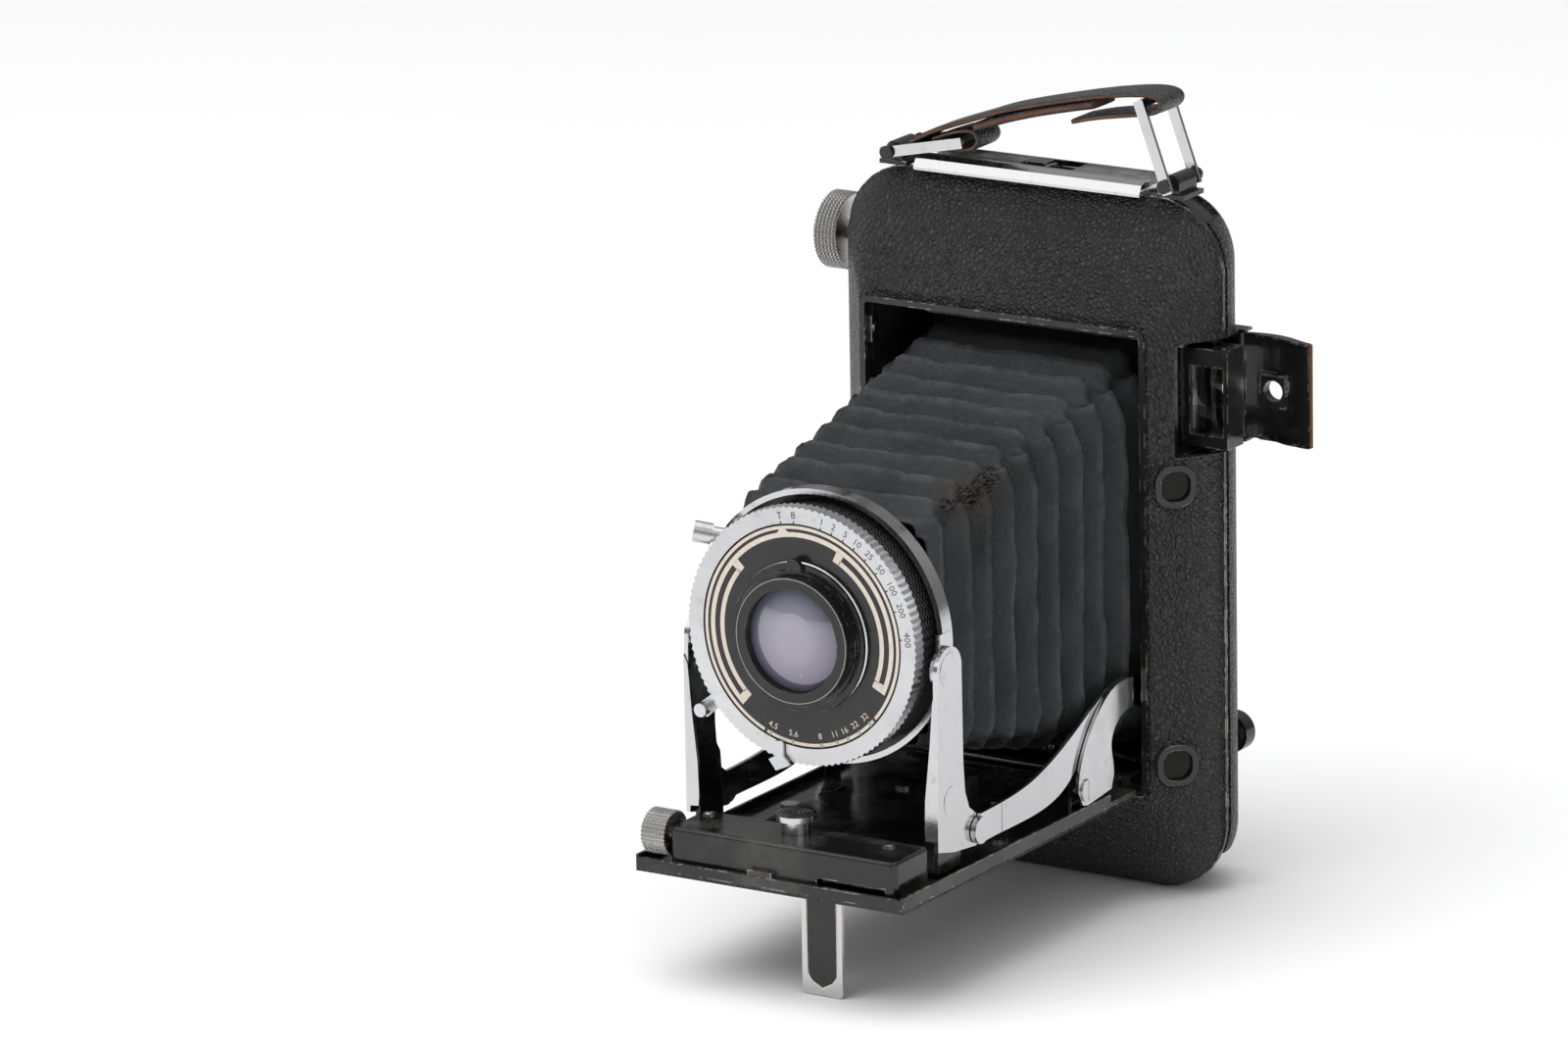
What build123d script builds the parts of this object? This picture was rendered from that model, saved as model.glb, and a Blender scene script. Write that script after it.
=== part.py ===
from build123d import *
import math
import os

os.makedirs("parts", exist_ok=True)

# Folding roll-film camera for 6 x 9 cm pictures, standing on its lower end with the bed down.
# Origin: centre of the flat lower end. X across the body, -Y where the lens looks, Z up its long side.

# ---- driving dimensions (mm) ----
BODY_HALF_W = 47.0
BODY_H = 155.0
FRONT_Y = -21.0
TRIM_Y = -6.5
BACK_Y = 14.0
OPEN_HALF_W = 34.6
OPEN_Z0 = 25.5
OPEN_Z1 = 127.5
SKIN = 0.8
WALL = 1.3
GATE_Y = 8.0
GATE_HALF_W = 28.0
GATE_HALF_H = 42.0
SPOOL_Y = -1.0
SPOOL_R = 12.5
SPOOL_TOP_Z = 137.4
SPOOL_LOW_Z = 15.6

HINGE_Y = -18.5
HINGE_Z = 27.0
BED_HALF_W = 33.4
BED_END_Y = -118.8
BED_Z = 24.9
BED_TOP = 26.0
RIM_TOP = 27.8

FOLD_Y = -95.6
FOLD_Z = 42.8
TOP_Y = -96.0
TOP_Z = 71.8
ARM_Y = -85.5
ARM_Z = 33.9
REAR_Y = -43.0
REAR_Z = 31.6

KNOB_Y = -113.5
KNOB_Z = 32.0

LENS_Z = 76.8
RING_Y = -104.0
RING_R = 28.4
ARCH_R = 30.4

LUG_X = 35.0
LUG_Y = -3.2
LUG_Z = 158.6
BAIL_L = 18.5
BAIL_HALF_W = 5.7
BAIL_LEFT_DEG = 12.0
BAIL_RIGHT_DEG = 110.0

FINDER_Z0 = 101.2
FINDER_Z1 = 124.4
BLOCK_PIN_X = 43.3
BLOCK_PIN_Y = -3.3
FLAP_PIN_X = 45.4
FLAP_PIN_Y = 4.6

SLOPE_X = 40.6
SLOPE_Y = -15.9
WINDOW_SIDE = 8.6

DOOR_Y = 11.0
DOOR_Z = 3.4

# front shell sections: y, half width, lower z, upper z, corner radius
FRONT = [
    (-21.0, 35.8, 24.3, 128.7, 2.5),
    (-16.0, 40.6, 12.6, 141.2, 8.0),
    (-11.0, 44.8, 4.0, 150.6, 13.0),
    (-6.5, 47.0, 0.0, 155.0, 16.0),
]
# back cover sections: y, inset of the sides, inset of the ends, corner radius
BACK = [
    (-4.4, 0.2, 0.2, 15.8),
    (0.5, 1.0, 0.2, 15.2),
    (5.0, 3.2, 0.6, 14.0),
    (9.0, 6.4, 2.0, 12.0),
    (12.0, 10.6, 4.6, 9.0),
    (14.0, 16.5, 8.5, 6.0),
]


def block(x0, x1, y0, y1, z0, z1, mode=Mode.ADD):
    with Locations(((x0 + x1) / 2, (y0 + y1) / 2, (z0 + z1) / 2)):
        Box(abs(x1 - x0), abs(y1 - y0), abs(z1 - z0), mode=mode)


def rod_x(y, z, r, x0, x1, mode=Mode.ADD):
    with Locations(Location(((x0 + x1) / 2, y, z), (0, 90, 0))):
        Cylinder(r, abs(x1 - x0), mode=mode)


def rod_y(x, z, r, y0, y1, mode=Mode.ADD):
    with Locations(Location((x, (y0 + y1) / 2, z), (90, 0, 0))):
        Cylinder(r, abs(y1 - y0), mode=mode)


def rod_z(x, y, r, z0, z1, mode=Mode.ADD):
    with Locations((x, y, (z0 + z1) / 2)):
        Cylinder(r, abs(z1 - z0), mode=mode)


def outline(plane, points):
    with BuildSketch(plane, mode=Mode.PRIVATE) as shape:
        with BuildLine():
            Polyline(*points, close=True)
        make_face()
    return shape.sketch


def plate_x(points, x0, x1, mode=Mode.ADD):
    extrude(outline(Plane.YZ.offset(min(x0, x1)), points), amount=abs(x1 - x0), mode=mode)


def plate_y(points, y0, y1, mode=Mode.ADD):
    extrude(outline(Plane.XZ.offset(-y0), points), amount=-(y1 - y0), mode=mode)


def plate_z(points, z0, z1, mode=Mode.ADD):
    extrude(outline(Plane.XY.offset(z0), points), amount=z1 - z0, mode=mode)


def blade_x(upper, lower, x0, x1):
    # a smooth pressed blade: one curve along its upper edge, one along its lower edge
    with BuildSketch(Plane.YZ.offset(min(x0, x1)), mode=Mode.PRIVATE) as blade:
        with BuildLine():
            Spline(*upper)
            Spline(*lower)
            Line(upper[0], lower[0])
            Line(upper[-1], lower[-1])
        make_face()
    extrude(blade.sketch, amount=abs(x1 - x0))


def section(y, half_w, z0, z1, r):
    with BuildSketch(Plane.XZ.offset(-y), mode=Mode.PRIVATE) as ring:
        with Locations((0, (z0 + z1) / 2)):
            RectangleRounded(2 * half_w, z1 - z0, r)
    return ring.sketch


def slab(y0, y1, half_w, z0, z1, r, mode=Mode.ADD):
    extrude(section(y0, half_w, z0, z1, r), amount=-(y1 - y0), mode=mode)


def front_envelope(inset, mode=Mode.ADD):
    rings = []
    for i, (y, w, z0, z1, r) in enumerate(FRONT):
        yy = y + inset if i == 0 else y
        ring = section(yy, w - inset, z0 + inset, z1 - inset, max(r - inset * 0.6, 0.8))
        rings.append(ring.face())
    loft(rings, mode=mode)


def back_envelope(inset, mode=Mode.ADD):
    rings = []
    for i, (y, dx, dz, r) in enumerate(BACK):
        yy = y - inset if i == len(BACK) - 1 else y
        ring = section(
            yy,
            BODY_HALF_W - dx - inset,
            dz + inset,
            BODY_H - dz - inset,
            max(r - inset * 0.6, 2.0),
        )
        rings.append(ring.face())
    loft(rings, mode=mode)


def window(side, r, z, level, height, mode=Mode.ADD):
    # rounded window square to the sloping side of the body; level is its lower end below the leather
    plane = Plane(
        origin=(SLOPE_X + 0.743 * level, SLOPE_Y - 0.669 * level, z),
        x_dir=(0.669, 0.743, 0),
        z_dir=(0.743, -0.669, 0),
    )
    with BuildSketch(plane, mode=Mode.PRIVATE) as shape:
        RectangleRounded(side, side, r)
    extrude(shape.sketch, amount=height, mode=mode)


def star(radius, teeth, depth):
    points = []
    for i in range(teeth):
        for k, rr in ((0.0, radius), (0.5, radius - depth)):
            a = 2 * math.pi * (i + k) / teeth
            points.append((rr * math.cos(a), rr * math.sin(a)))
    return points


# ================= body =================
with BuildPart() as body_shell:
    front_envelope(SKIN)
    slab(TRIM_Y, -4.8, BODY_HALF_W - SKIN, SKIN, BODY_H - SKIN, 16.0 - SKIN * 0.6)
    front_envelope(SKIN + WALL, mode=Mode.SUBTRACT)
    inner = BODY_HALF_W - SKIN - WALL
    corner = 16.0 - (SKIN + WALL) * 0.6
    slab(TRIM_Y, -4.8, inner, SKIN + WALL, BODY_H - SKIN - WALL, corner, mode=Mode.SUBTRACT)
    block(-OPEN_HALF_W, OPEN_HALF_W, -22, -10, OPEN_Z0, OPEN_Z1, mode=Mode.SUBTRACT)
    block(-28.4, 28.4, -22, -15.5, 24.9, 26.0, mode=Mode.SUBTRACT)
    block(35.3, 60, -16.0, 0, 100.3, 125.6, mode=Mode.SUBTRACT)
    for z in (94.0, 31.2):
        window(WINDOW_SIDE + 0.06, 3.53, z, -3.4, 8.0, mode=Mode.SUBTRACT)
    # flat foot of the lower end, carried back as far as the door hinge
    block(-32, 32, -5.45, 9.2, 0.0, 2.0)
    for s in (-1, 1):
        block(s * 30.4, s * 31.8, 8.0, 12.4, 0.6, 4.5)
    rod_x(DOOR_Y, DOOR_Z, 0.8, -33, 33, mode=Mode.SUBTRACT)
body_shell.part.label = "body_shell"
export_step(body_shell.part, "parts/body_shell.step")

with BuildPart() as body_leather:
    front_envelope(0.0)
    front_envelope(SKIN, mode=Mode.SUBTRACT)
    block(-60, 60, -23, FRONT_Y + 0.9, 0, 200, mode=Mode.SUBTRACT)
    block(35.3, 60, -16.0, 0, 100.3, 125.6, mode=Mode.SUBTRACT)
    for z in (94.0, 31.2):
        window(WINDOW_SIDE + 0.06, 3.53, z, -3.4, 8.0, mode=Mode.SUBTRACT)
body_leather.part.label = "body_leather"
export_step(body_leather.part, "parts/body_leather.step")

with BuildPart() as opening_bezel:
    slab(FRONT_Y, FRONT_Y + 0.8, 36.0, 24.1, 128.9, 2.4)
    slab(FRONT_Y, FRONT_Y + 0.8, OPEN_HALF_W, OPEN_Z0, OPEN_Z1, 0.8, mode=Mode.SUBTRACT)
    block(-28.4, 28.4, -22, -15.5, 24.9, 26.0, mode=Mode.SUBTRACT)
opening_bezel.part.label = "opening_bezel"
export_step(opening_bezel.part, "parts/opening_bezel.step")

with BuildPart() as film_chamber:
    # bellows tunnel behind the opening
    block(-35.3, 35.3, -17.6, -9.0, OPEN_Z0 - 0.7, OPEN_Z1 + 0.7)
    block(-35.3, 35.3, -9.0, GATE_Y + 1.0, 28.3, 124.7)
    block(-34.6, 34.6, -22, -9.0, OPEN_Z0, OPEN_Z1, mode=Mode.SUBTRACT)
    block(-34.6, 34.6, -9.1, GATE_Y, 29.5, 123.5, mode=Mode.SUBTRACT)
    # picture gate
    block(
        -GATE_HALF_W,
        GATE_HALF_W,
        GATE_Y - 1,
        GATE_Y + 2,
        76.5 - GATE_HALF_H,
        76.5 + GATE_HALF_H,
        mode=Mode.SUBTRACT,
    )
    # spool end walls
    for s in (-1, 1):
        block(s * 34.6, s * 35.3, -7.0, 6.0, 122.0, 127.0)
        for z0, z1 in ((4.0, 30.0), (126.0, 148.4)):
            block(s * 34.6, s * 35.8, -7.0, 5.0, z0, z1)
    for z in (SPOOL_TOP_Z, SPOOL_LOW_Z):
        for s in (-1, 1):
            rod_x(SPOOL_Y, z, 2.2, s * 34.0, s * 37.0, mode=Mode.SUBTRACT)
        rod_x(SPOOL_Y, z, SPOOL_R + 0.5, -34.5, 34.5, mode=Mode.SUBTRACT)
    # hollow for the focus knob while the bed is shut
    rod_x(
        HINGE_Y + KNOB_Z - HINGE_Z,
        HINGE_Z + HINGE_Y - KNOB_Y,
        5.9,
        -33.2,
        -25.8,
        mode=Mode.SUBTRACT,
    )
    # clearance slots for the rear arms
    for s in (-1, 1):
        block(s * 32.4, s * 34.3, -9.05, GATE_Y - 0.4, 24.6, 29.6, mode=Mode.SUBTRACT)
    # two knuckles that hold the bed's hinge pin
    for s in (-1, 1):
        block(s * 28.6, s * 30.6, HINGE_Y - 1.2, HINGE_Y + 3.5, OPEN_Z0, HINGE_Z + 1.2)
    block(-28.2, 28.2, -22, -16.6, 24, 25.8, mode=Mode.SUBTRACT)
    rod_x(HINGE_Y, HINGE_Z, 0.8, -31, 31, mode=Mode.SUBTRACT)
film_chamber.part.label = "film_chamber"
export_step(film_chamber.part, "parts/film_chamber.step")

with BuildPart() as film_rollers:
    for z in (126.4, 26.6):
        rod_x(8.4, z, 1.6, -32.5, 32.5)
        for s in (-1, 1):
            rod_x(8.4, z, 0.6, s * 32.4, s * 34.5)
film_rollers.part.label = "film_rollers"
export_step(film_rollers.part, "parts/film_rollers.step")

with BuildPart() as trim_bead:
    slab(TRIM_Y, TRIM_Y + 1.0, BODY_HALF_W + 0.35, 0.0, BODY_H + 0.35, 16.2)
    slab(TRIM_Y, TRIM_Y + 1.0, BODY_HALF_W - SKIN, SKIN, BODY_H - SKIN, 15.5, mode=Mode.SUBTRACT)
    block(35.3, 60, -16.0, 0, 100.3, 125.6, mode=Mode.SUBTRACT)
trim_bead.part.label = "trim_bead"
export_step(trim_bead.part, "parts/trim_bead.step")

with BuildPart() as hinge_pins:
    # one for the bed, one for the back
    rod_x(HINGE_Y, HINGE_Z, 0.8, -30.6, 30.6)
    rod_x(DOOR_Y, DOOR_Z, 0.8, -31.8, 31.8)
hinge_pins.part.label = "hinge_pins"
export_step(hinge_pins.part, "parts/hinge_pins.step")

with BuildPart() as latch_trough:
    plate_x(
        [(-9.4, 153.9), (-9.6, 156.0), (-8.6, 157.8), (-6.2, 158.4), (-5.0, 158.4), (-5.0, 157.0),
         (2.4, 157.0), (2.4, 158.4), (3.6, 158.2), (4.4, 157.0), (4.4, 155.3), (-5.4, 155.3)],
        -28.5,
        28.5,
    )
    block(-30, 30, -12, -5.4, 150, 155.37, mode=Mode.SUBTRACT)
    block(-6.0, 6.0, -4.4, 1.8, 154, 157.5, mode=Mode.SUBTRACT)
latch_trough.part.label = "latch_trough"
export_step(latch_trough.part, "parts/latch_trough.step")

with BuildPart() as latch_slider:
    block(-5.0, 1.8, -4.0, 1.4, 157.1, 157.9)
    for i in range(6):
        block(-4.6 + i * 1.05, -4.0 + i * 1.05, -3.6, 1.0, 157.85, 158.7)
    block(-3.0, 0.0, -2.6, 0.2, 155.45, 157.15)
latch_slider.part.label = "latch_slider"
export_step(latch_slider.part, "parts/latch_slider.step")

with BuildPart() as strap_lugs:
    for s in (-1, 1):
        block(s * 31.6, s * 38.4, -7.6, 1.2, 155.36, 156.4)
        block(s * 33.0, s * 37.0, -7.0, 0.6, 156.3, 158.6)
        rod_y(s * LUG_X, LUG_Z, 2.0, -7.0, 0.6)
        rod_y(s * LUG_X, LUG_Z, 0.9, -10.2, 3.8)
        rod_y(s * LUG_X, LUG_Z, 1.5, -10.7, -10.1)
        rod_y(s * LUG_X, LUG_Z, 1.5, 3.7, 4.3)
strap_lugs.part.label = "strap_lugs"
export_step(strap_lugs.part, "parts/strap_lugs.step")

with BuildPart() as finder_housing:
    # black liner of the finder recess
    block(35.35, 36.0, -15.0, 4.0, 100.4, 125.5)
    block(35.35, 42.0, -15.0, -3.9, 100.4, 101.0)
    block(35.35, 42.0, -15.0, -3.9, 124.9, 125.5)
    block(35.35, 46.2, -8.0, 3.6, 100.4, 101.0)
    block(35.35, 46.2, -8.0, 3.6, 124.9, 125.5)
    for z0, z1 in ((100.4, 101.0), (124.9, 125.5)):
        block(43.0, 47.4, 3.0, 6.2, z0, z1)
    rod_z(BLOCK_PIN_X, BLOCK_PIN_Y, 8.0, 101.0, 124.9, mode=Mode.SUBTRACT)
    rod_z(FLAP_PIN_X, FLAP_PIN_Y, 0.7, 100.5, 125.4)
    rod_z(BLOCK_PIN_X, BLOCK_PIN_Y, 0.7, 100.5, 125.4)
finder_housing.part.label = "finder_housing"
export_step(finder_housing.part, "parts/finder_housing.step")

with BuildPart() as rf_bezels:
    for z in (94.0, 31.2):
        window(WINDOW_SIDE, 3.5, z, -3.0, 3.4)
        window(WINDOW_SIDE + 0.7, 3.8, z, 0.15, 0.4)
        window(WINDOW_SIDE - 1.9, 2.7, z, -3.1, 4.0, mode=Mode.SUBTRACT)
rf_bezels.part.label = "rf_bezels"
export_step(rf_bezels.part, "parts/rf_bezels.step")

with BuildPart() as rf_glasses:
    for z in (94.0, 31.2):
        window(WINDOW_SIDE - 1.94, 2.68, z, -1.6, 1.0)
rf_glasses.part.label = "rf_glasses"
export_step(rf_glasses.part, "parts/rf_glasses.step")

with BuildPart() as spool_pins:
    for s, z in ((1, SPOOL_TOP_Z), (1, SPOOL_LOW_Z), (-1, SPOOL_LOW_Z)):
        rod_x(SPOOL_Y, z, 2.15, s * 31.4, s * 37.4)
        rod_x(SPOOL_Y, z, 4.0, s * 35.8, s * 37.0)
spool_pins.part.label = "spool_pins"
export_step(spool_pins.part, "parts/spool_pins.step")

# ================= film transport =================
with BuildPart() as wind_knob:
    plate_x([(SPOOL_Y + a, SPOOL_TOP_Z + b) for a, b in star(8.7, 60, 0.45)], -54.6, -49.2)
    rod_x(SPOOL_Y, SPOOL_TOP_Z, 7.6, -55.2, -54.5)
    rod_x(SPOOL_Y, SPOOL_TOP_Z, 6.2, -55.4, -54.9, mode=Mode.SUBTRACT)
    rod_x(SPOOL_Y, SPOOL_TOP_Z, 2.1, -49.3, -32.9)
    block(-33.4, -31.6, SPOOL_Y - 2.0, SPOOL_Y + 2.0, SPOOL_TOP_Z - 0.45, SPOOL_TOP_Z + 0.45)
wind_knob.part.label = "wind_knob"
export_step(wind_knob.part, "parts/wind_knob.step")

for node, z in (("take_up_spool", SPOOL_TOP_Z), ("feed_spool", SPOOL_LOW_Z)):
    with BuildPart() as spool:
        rod_x(SPOOL_Y, z, 6.2 if node == "take_up_spool" else 10.4, -31.4, 31.4)
        for s in (-1, 1):
            rod_x(SPOOL_Y, z, SPOOL_R, s * 31.4, s * 32.5)
        for s in (-1, 1):
            rod_x(SPOOL_Y, z, 2.3, s * 29.8, s * 33.0, mode=Mode.SUBTRACT)
    spool.part.label = node
    export_step(spool.part, "parts/" + node + ".step")

# ================= back cover =================
with BuildPart() as back_cover:
    back_envelope(SKIN)
    back_envelope(SKIN + 1.2, mode=Mode.SUBTRACT)
    block(-60, 60, -6.0, 9.6, -1, 6.0, mode=Mode.SUBTRACT)
    block(-60, 60, -6.0, 16, -1, 4.6, mode=Mode.SUBTRACT)
    block(34.9, 60, -6.0, 6.6, 100.2, 125.7, mode=Mode.SUBTRACT)
    for z in (60.0, 92.0):
        rod_y(0, z, 4.2, 10, 16, mode=Mode.SUBTRACT)
    rod_y(38.4, 31.2, 3.62, 4, 16, mode=Mode.SUBTRACT)
    rod_y(38.4, 31.2, 4.54, 10.55, 16, mode=Mode.SUBTRACT)
    block(-60, -40, -6, 1.5, SPOOL_TOP_Z - 2.5, SPOOL_TOP_Z + 2.5, mode=Mode.SUBTRACT)
    for s in (-1, 1):
        block(s * 29.9, s * 32.3, 8, 16, 0, 8.0, mode=Mode.SUBTRACT)
    # hinge leaf and tube along the lower edge
    plate_x([(10.4, 2.6), (12.2, 2.2), (13.2, 5.0), (13.2, 8.0), (11.9, 8.0), (11.4, 4.6)], -29.9, 29.9)
    rod_x(DOOR_Y, DOOR_Z, 1.5, -29.9, 29.9)
    rod_x(DOOR_Y, DOOR_Z, 0.85, -31, 31, mode=Mode.SUBTRACT)
    # catch tongue along the upper edge
    block(-12, 12, -3.6, 2.0, 153.4, 155.2)
    block(-5.5, 5.5, -3.2, 1.0, 150, 156, mode=Mode.SUBTRACT)
back_cover.part.label = "back_cover"
export_step(back_cover.part, "parts/back_cover.step")

with BuildPart() as back_leather:
    back_envelope(0.0)
    back_envelope(SKIN, mode=Mode.SUBTRACT)
    block(-60, 60, -6.0, -3.4, -1, 200, mode=Mode.SUBTRACT)
    block(-60, 60, -6.0, 16, -1, 8.4, mode=Mode.SUBTRACT)
    block(-60, 60, -6.0, 4.6, 150, 160, mode=Mode.SUBTRACT)
    block(34.9, 60, -6.0, 6.6, 100.2, 125.7, mode=Mode.SUBTRACT)
    block(-6.5, 6.5, 11, 16, 44.0, 108.0, mode=Mode.SUBTRACT)
    rod_y(38.4, 31.2, 4.6, 4, 16, mode=Mode.SUBTRACT)
    block(-60, -40, -6, 1.5, SPOOL_TOP_Z - 2.5, SPOOL_TOP_Z + 2.5, mode=Mode.SUBTRACT)
back_leather.part.label = "back_leather"
export_step(back_leather.part, "parts/back_leather.step")

with BuildPart() as rf_eyepiece:
    rod_y(38.4, 31.2, 4.5, 10.6, 14.4)
    rod_y(38.4, 31.2, 3.58, 9.4, 14.4)
    rod_y(38.4, 31.2, 2.4, 5.0, 15.0, mode=Mode.SUBTRACT)
rf_eyepiece.part.label = "rf_eyepiece"
export_step(rf_eyepiece.part, "parts/rf_eyepiece.step")

with BuildPart() as pressure_plate:
    block(-30.5, 30.5, 9.5, 10.3, 32.0, 121.0)
    for z in (40.0, 76.5, 113.0):
        block(-12, 12, 10.2, 12.0, z - 1.5, z + 1.5)
    for z in (60.0, 92.0):
        rod_y(0, z, 3.6, 9, 11, mode=Mode.SUBTRACT)
pressure_plate.part.label = "pressure_plate"
export_step(pressure_plate.part, "parts/pressure_plate.step")

with BuildPart() as red_windows:
    for z in (60.0, 92.0):
        rod_y(0, z, 4.15, 12.05, 12.75)
red_windows.part.label = "red_windows"
export_step(red_windows.part, "parts/red_windows.step")

with BuildPart() as window_cover:
    # sliding plate over the two red film windows
    block(-6.0, 6.0, 13.25, 13.95, 54.0, 98.0)
    for z in (69.5, 83.5):
        rod_y(0, z, 4.4, 13, 15, mode=Mode.SUBTRACT)
    block(-3.0, 3.0, 13.9, 14.7, 75.0, 78.0)
window_cover.part.label = "window_cover"
export_step(window_cover.part, "parts/window_cover.step")

# ================= finder =================
with BuildPart() as finder_block:
    block(39.4, 50.4, -10.0, -3.2, FINDER_Z0 + 0.6, FINDER_Z1 - 0.6)
    rod_z(BLOCK_PIN_X, BLOCK_PIN_Y, 1.7, FINDER_Z0 + 0.6, FINDER_Z1 - 0.6)
    block(41.0, 49.2, -12, 0, 104.6, 119.8, mode=Mode.SUBTRACT)
    rod_z(BLOCK_PIN_X, BLOCK_PIN_Y, 0.75, 90, 130, mode=Mode.SUBTRACT)
finder_block.part.label = "finder_block"
export_step(finder_block.part, "parts/finder_block.step")

with BuildPart() as finder_lens:
    block(41.02, 49.18, -9.0, -7.6, 104.62, 119.78)
    with Locations((45.1, -24.9, 112.8)):
        Sphere(16.6, mode=Mode.SUBTRACT)
finder_lens.part.label = "finder_lens"
export_step(finder_lens.part, "parts/finder_lens.step")

with BuildPart() as finder_flap:
    # curved cover that carries the eyepiece, swung out from the rear edge of the recess
    arc = []
    for i in range(13):
        t = i / 12
        x = FLAP_PIN_X + 1.0 + 17.6 * t
        y = FLAP_PIN_Y + 1.3 * math.sin(math.pi * min(t * 1.15, 1.0)) - 2.6 * t * t
        arc.append((x, y))
    outer = [(x, y + 0.55) for x, y in arc]
    inner = [(x, y - 0.55) for x, y in reversed(arc)]
    plate_z(outer + inner, FINDER_Z0 - 0.1, FINDER_Z1 + 0.1)
    rod_z(FLAP_PIN_X, FLAP_PIN_Y, 1.4, FINDER_Z0 - 0.1, FINDER_Z1 + 0.1)
    # turned-in rims along the two long edges
    for z0, z1 in ((FINDER_Z0 - 0.1, FINDER_Z0 + 0.4), (FINDER_Z1 - 0.4, FINDER_Z1 + 0.1)):
        plate_z(
            [(48.4, 5.4), (54, 5.3), (60, 3.6), (63.8, 2.4), (63.4, 1.4), (57.5, 2.4), (54.6, 3.7), (50.5, 3.9)],
            z0,
            z1,
        )
    # eyepiece block
    block(50.4, 57.6, 3.5, 5.2, 108.6, 116.2)
    rod_y(54.0, 112.4, 2.3, 0, 9, mode=Mode.SUBTRACT)
    rod_z(FLAP_PIN_X, FLAP_PIN_Y, 0.75, 90, 130, mode=Mode.SUBTRACT)
finder_flap.part.label = "finder_flap"
export_step(finder_flap.part, "parts/finder_flap.step")

# ================= carrying handle =================


def bail(pivot_x, degrees):
    a = math.radians(degrees)
    ux, uz = math.cos(a), math.sin(a)
    nx, nz = -uz, ux
    cx = pivot_x
    cz = LUG_Z
    for s in (-1, 1):
        pts = []
        for along, side in ((-1.9, -1.2), (BAIL_L + 0.8, -1.2), (BAIL_L + 0.8, 1.2), (-1.9, 1.2)):
            pts.append((cx + ux * along + nx * side, cz + uz * along + nz * side))
        y0 = LUG_Y + s * BAIL_HALF_W
        plate_y(pts, min(y0, y0 + s * 0.9), max(y0, y0 + s * 0.9))
    rod_y(cx + ux * BAIL_L, cz + uz * BAIL_L, 0.95, LUG_Y - BAIL_HALF_W - 0.1, LUG_Y + BAIL_HALF_W + 0.1)
    rod_y(cx, cz, 0.95, -12, 6, mode=Mode.SUBTRACT)


with BuildPart() as bail_left:
    bail(-LUG_X, BAIL_LEFT_DEG)
bail_left.part.label = "bail_left"
export_step(bail_left.part, "parts/bail_left.step")

with BuildPart() as bail_right:
    bail(LUG_X, BAIL_RIGHT_DEG)
bail_right.part.label = "bail_right"
export_step(bail_right.part, "parts/bail_right.step")

LX = -LUG_X + BAIL_L * math.cos(math.radians(BAIL_LEFT_DEG))
LZ = LUG_Z + BAIL_L * math.sin(math.radians(BAIL_LEFT_DEG))
RX = LUG_X + BAIL_L * math.cos(math.radians(BAIL_RIGHT_DEG))
RZ = LUG_Z + BAIL_L * math.sin(math.radians(BAIL_RIGHT_DEG))

with BuildPart() as handle_strap:
    # two layers of leather, open as a long loop at each end where the wire passes
    sides = [(-30.5, 159.0), (-24.0, 159.3), (-17.0, 160.2), (-8.0, 163.6), (8.0, 168.8), (24.0, 172.6)]
    sides += [(30.5, 173.6), (33.4, 175.6), (31.0, 178.3), (20.0, 177.2), (8.0, 174.6), (-6.0, 171.0)]
    sides += [(-14.5, 168.0), (-22.0, 164.8), (-29.0, 161.4), (-31.2, 160.0)]
    plate_y(sides, LUG_Y - 5.4, LUG_Y + 5.4)
    loop = [(-28.5, 160.0), (-18.4, 160.9), (-15.2, 161.2), (-13.8, 163.2), (-15.4, 164.4), (-18.6, 164.0)]
    plate_y(loop + [(-28.5, 161.0)], LUG_Y - 8, LUG_Y + 8, mode=Mode.SUBTRACT)
    loop = [(15.0, 170.9), (30.4, 175.0), (30.4, 177.2), (28.0, 177.2), (15.0, 173.3)]
    plate_y(loop, LUG_Y - 8, LUG_Y + 8, mode=Mode.SUBTRACT)
handle_strap.part.label = "handle_strap"
export_step(handle_strap.part, "parts/handle_strap.step")

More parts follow.
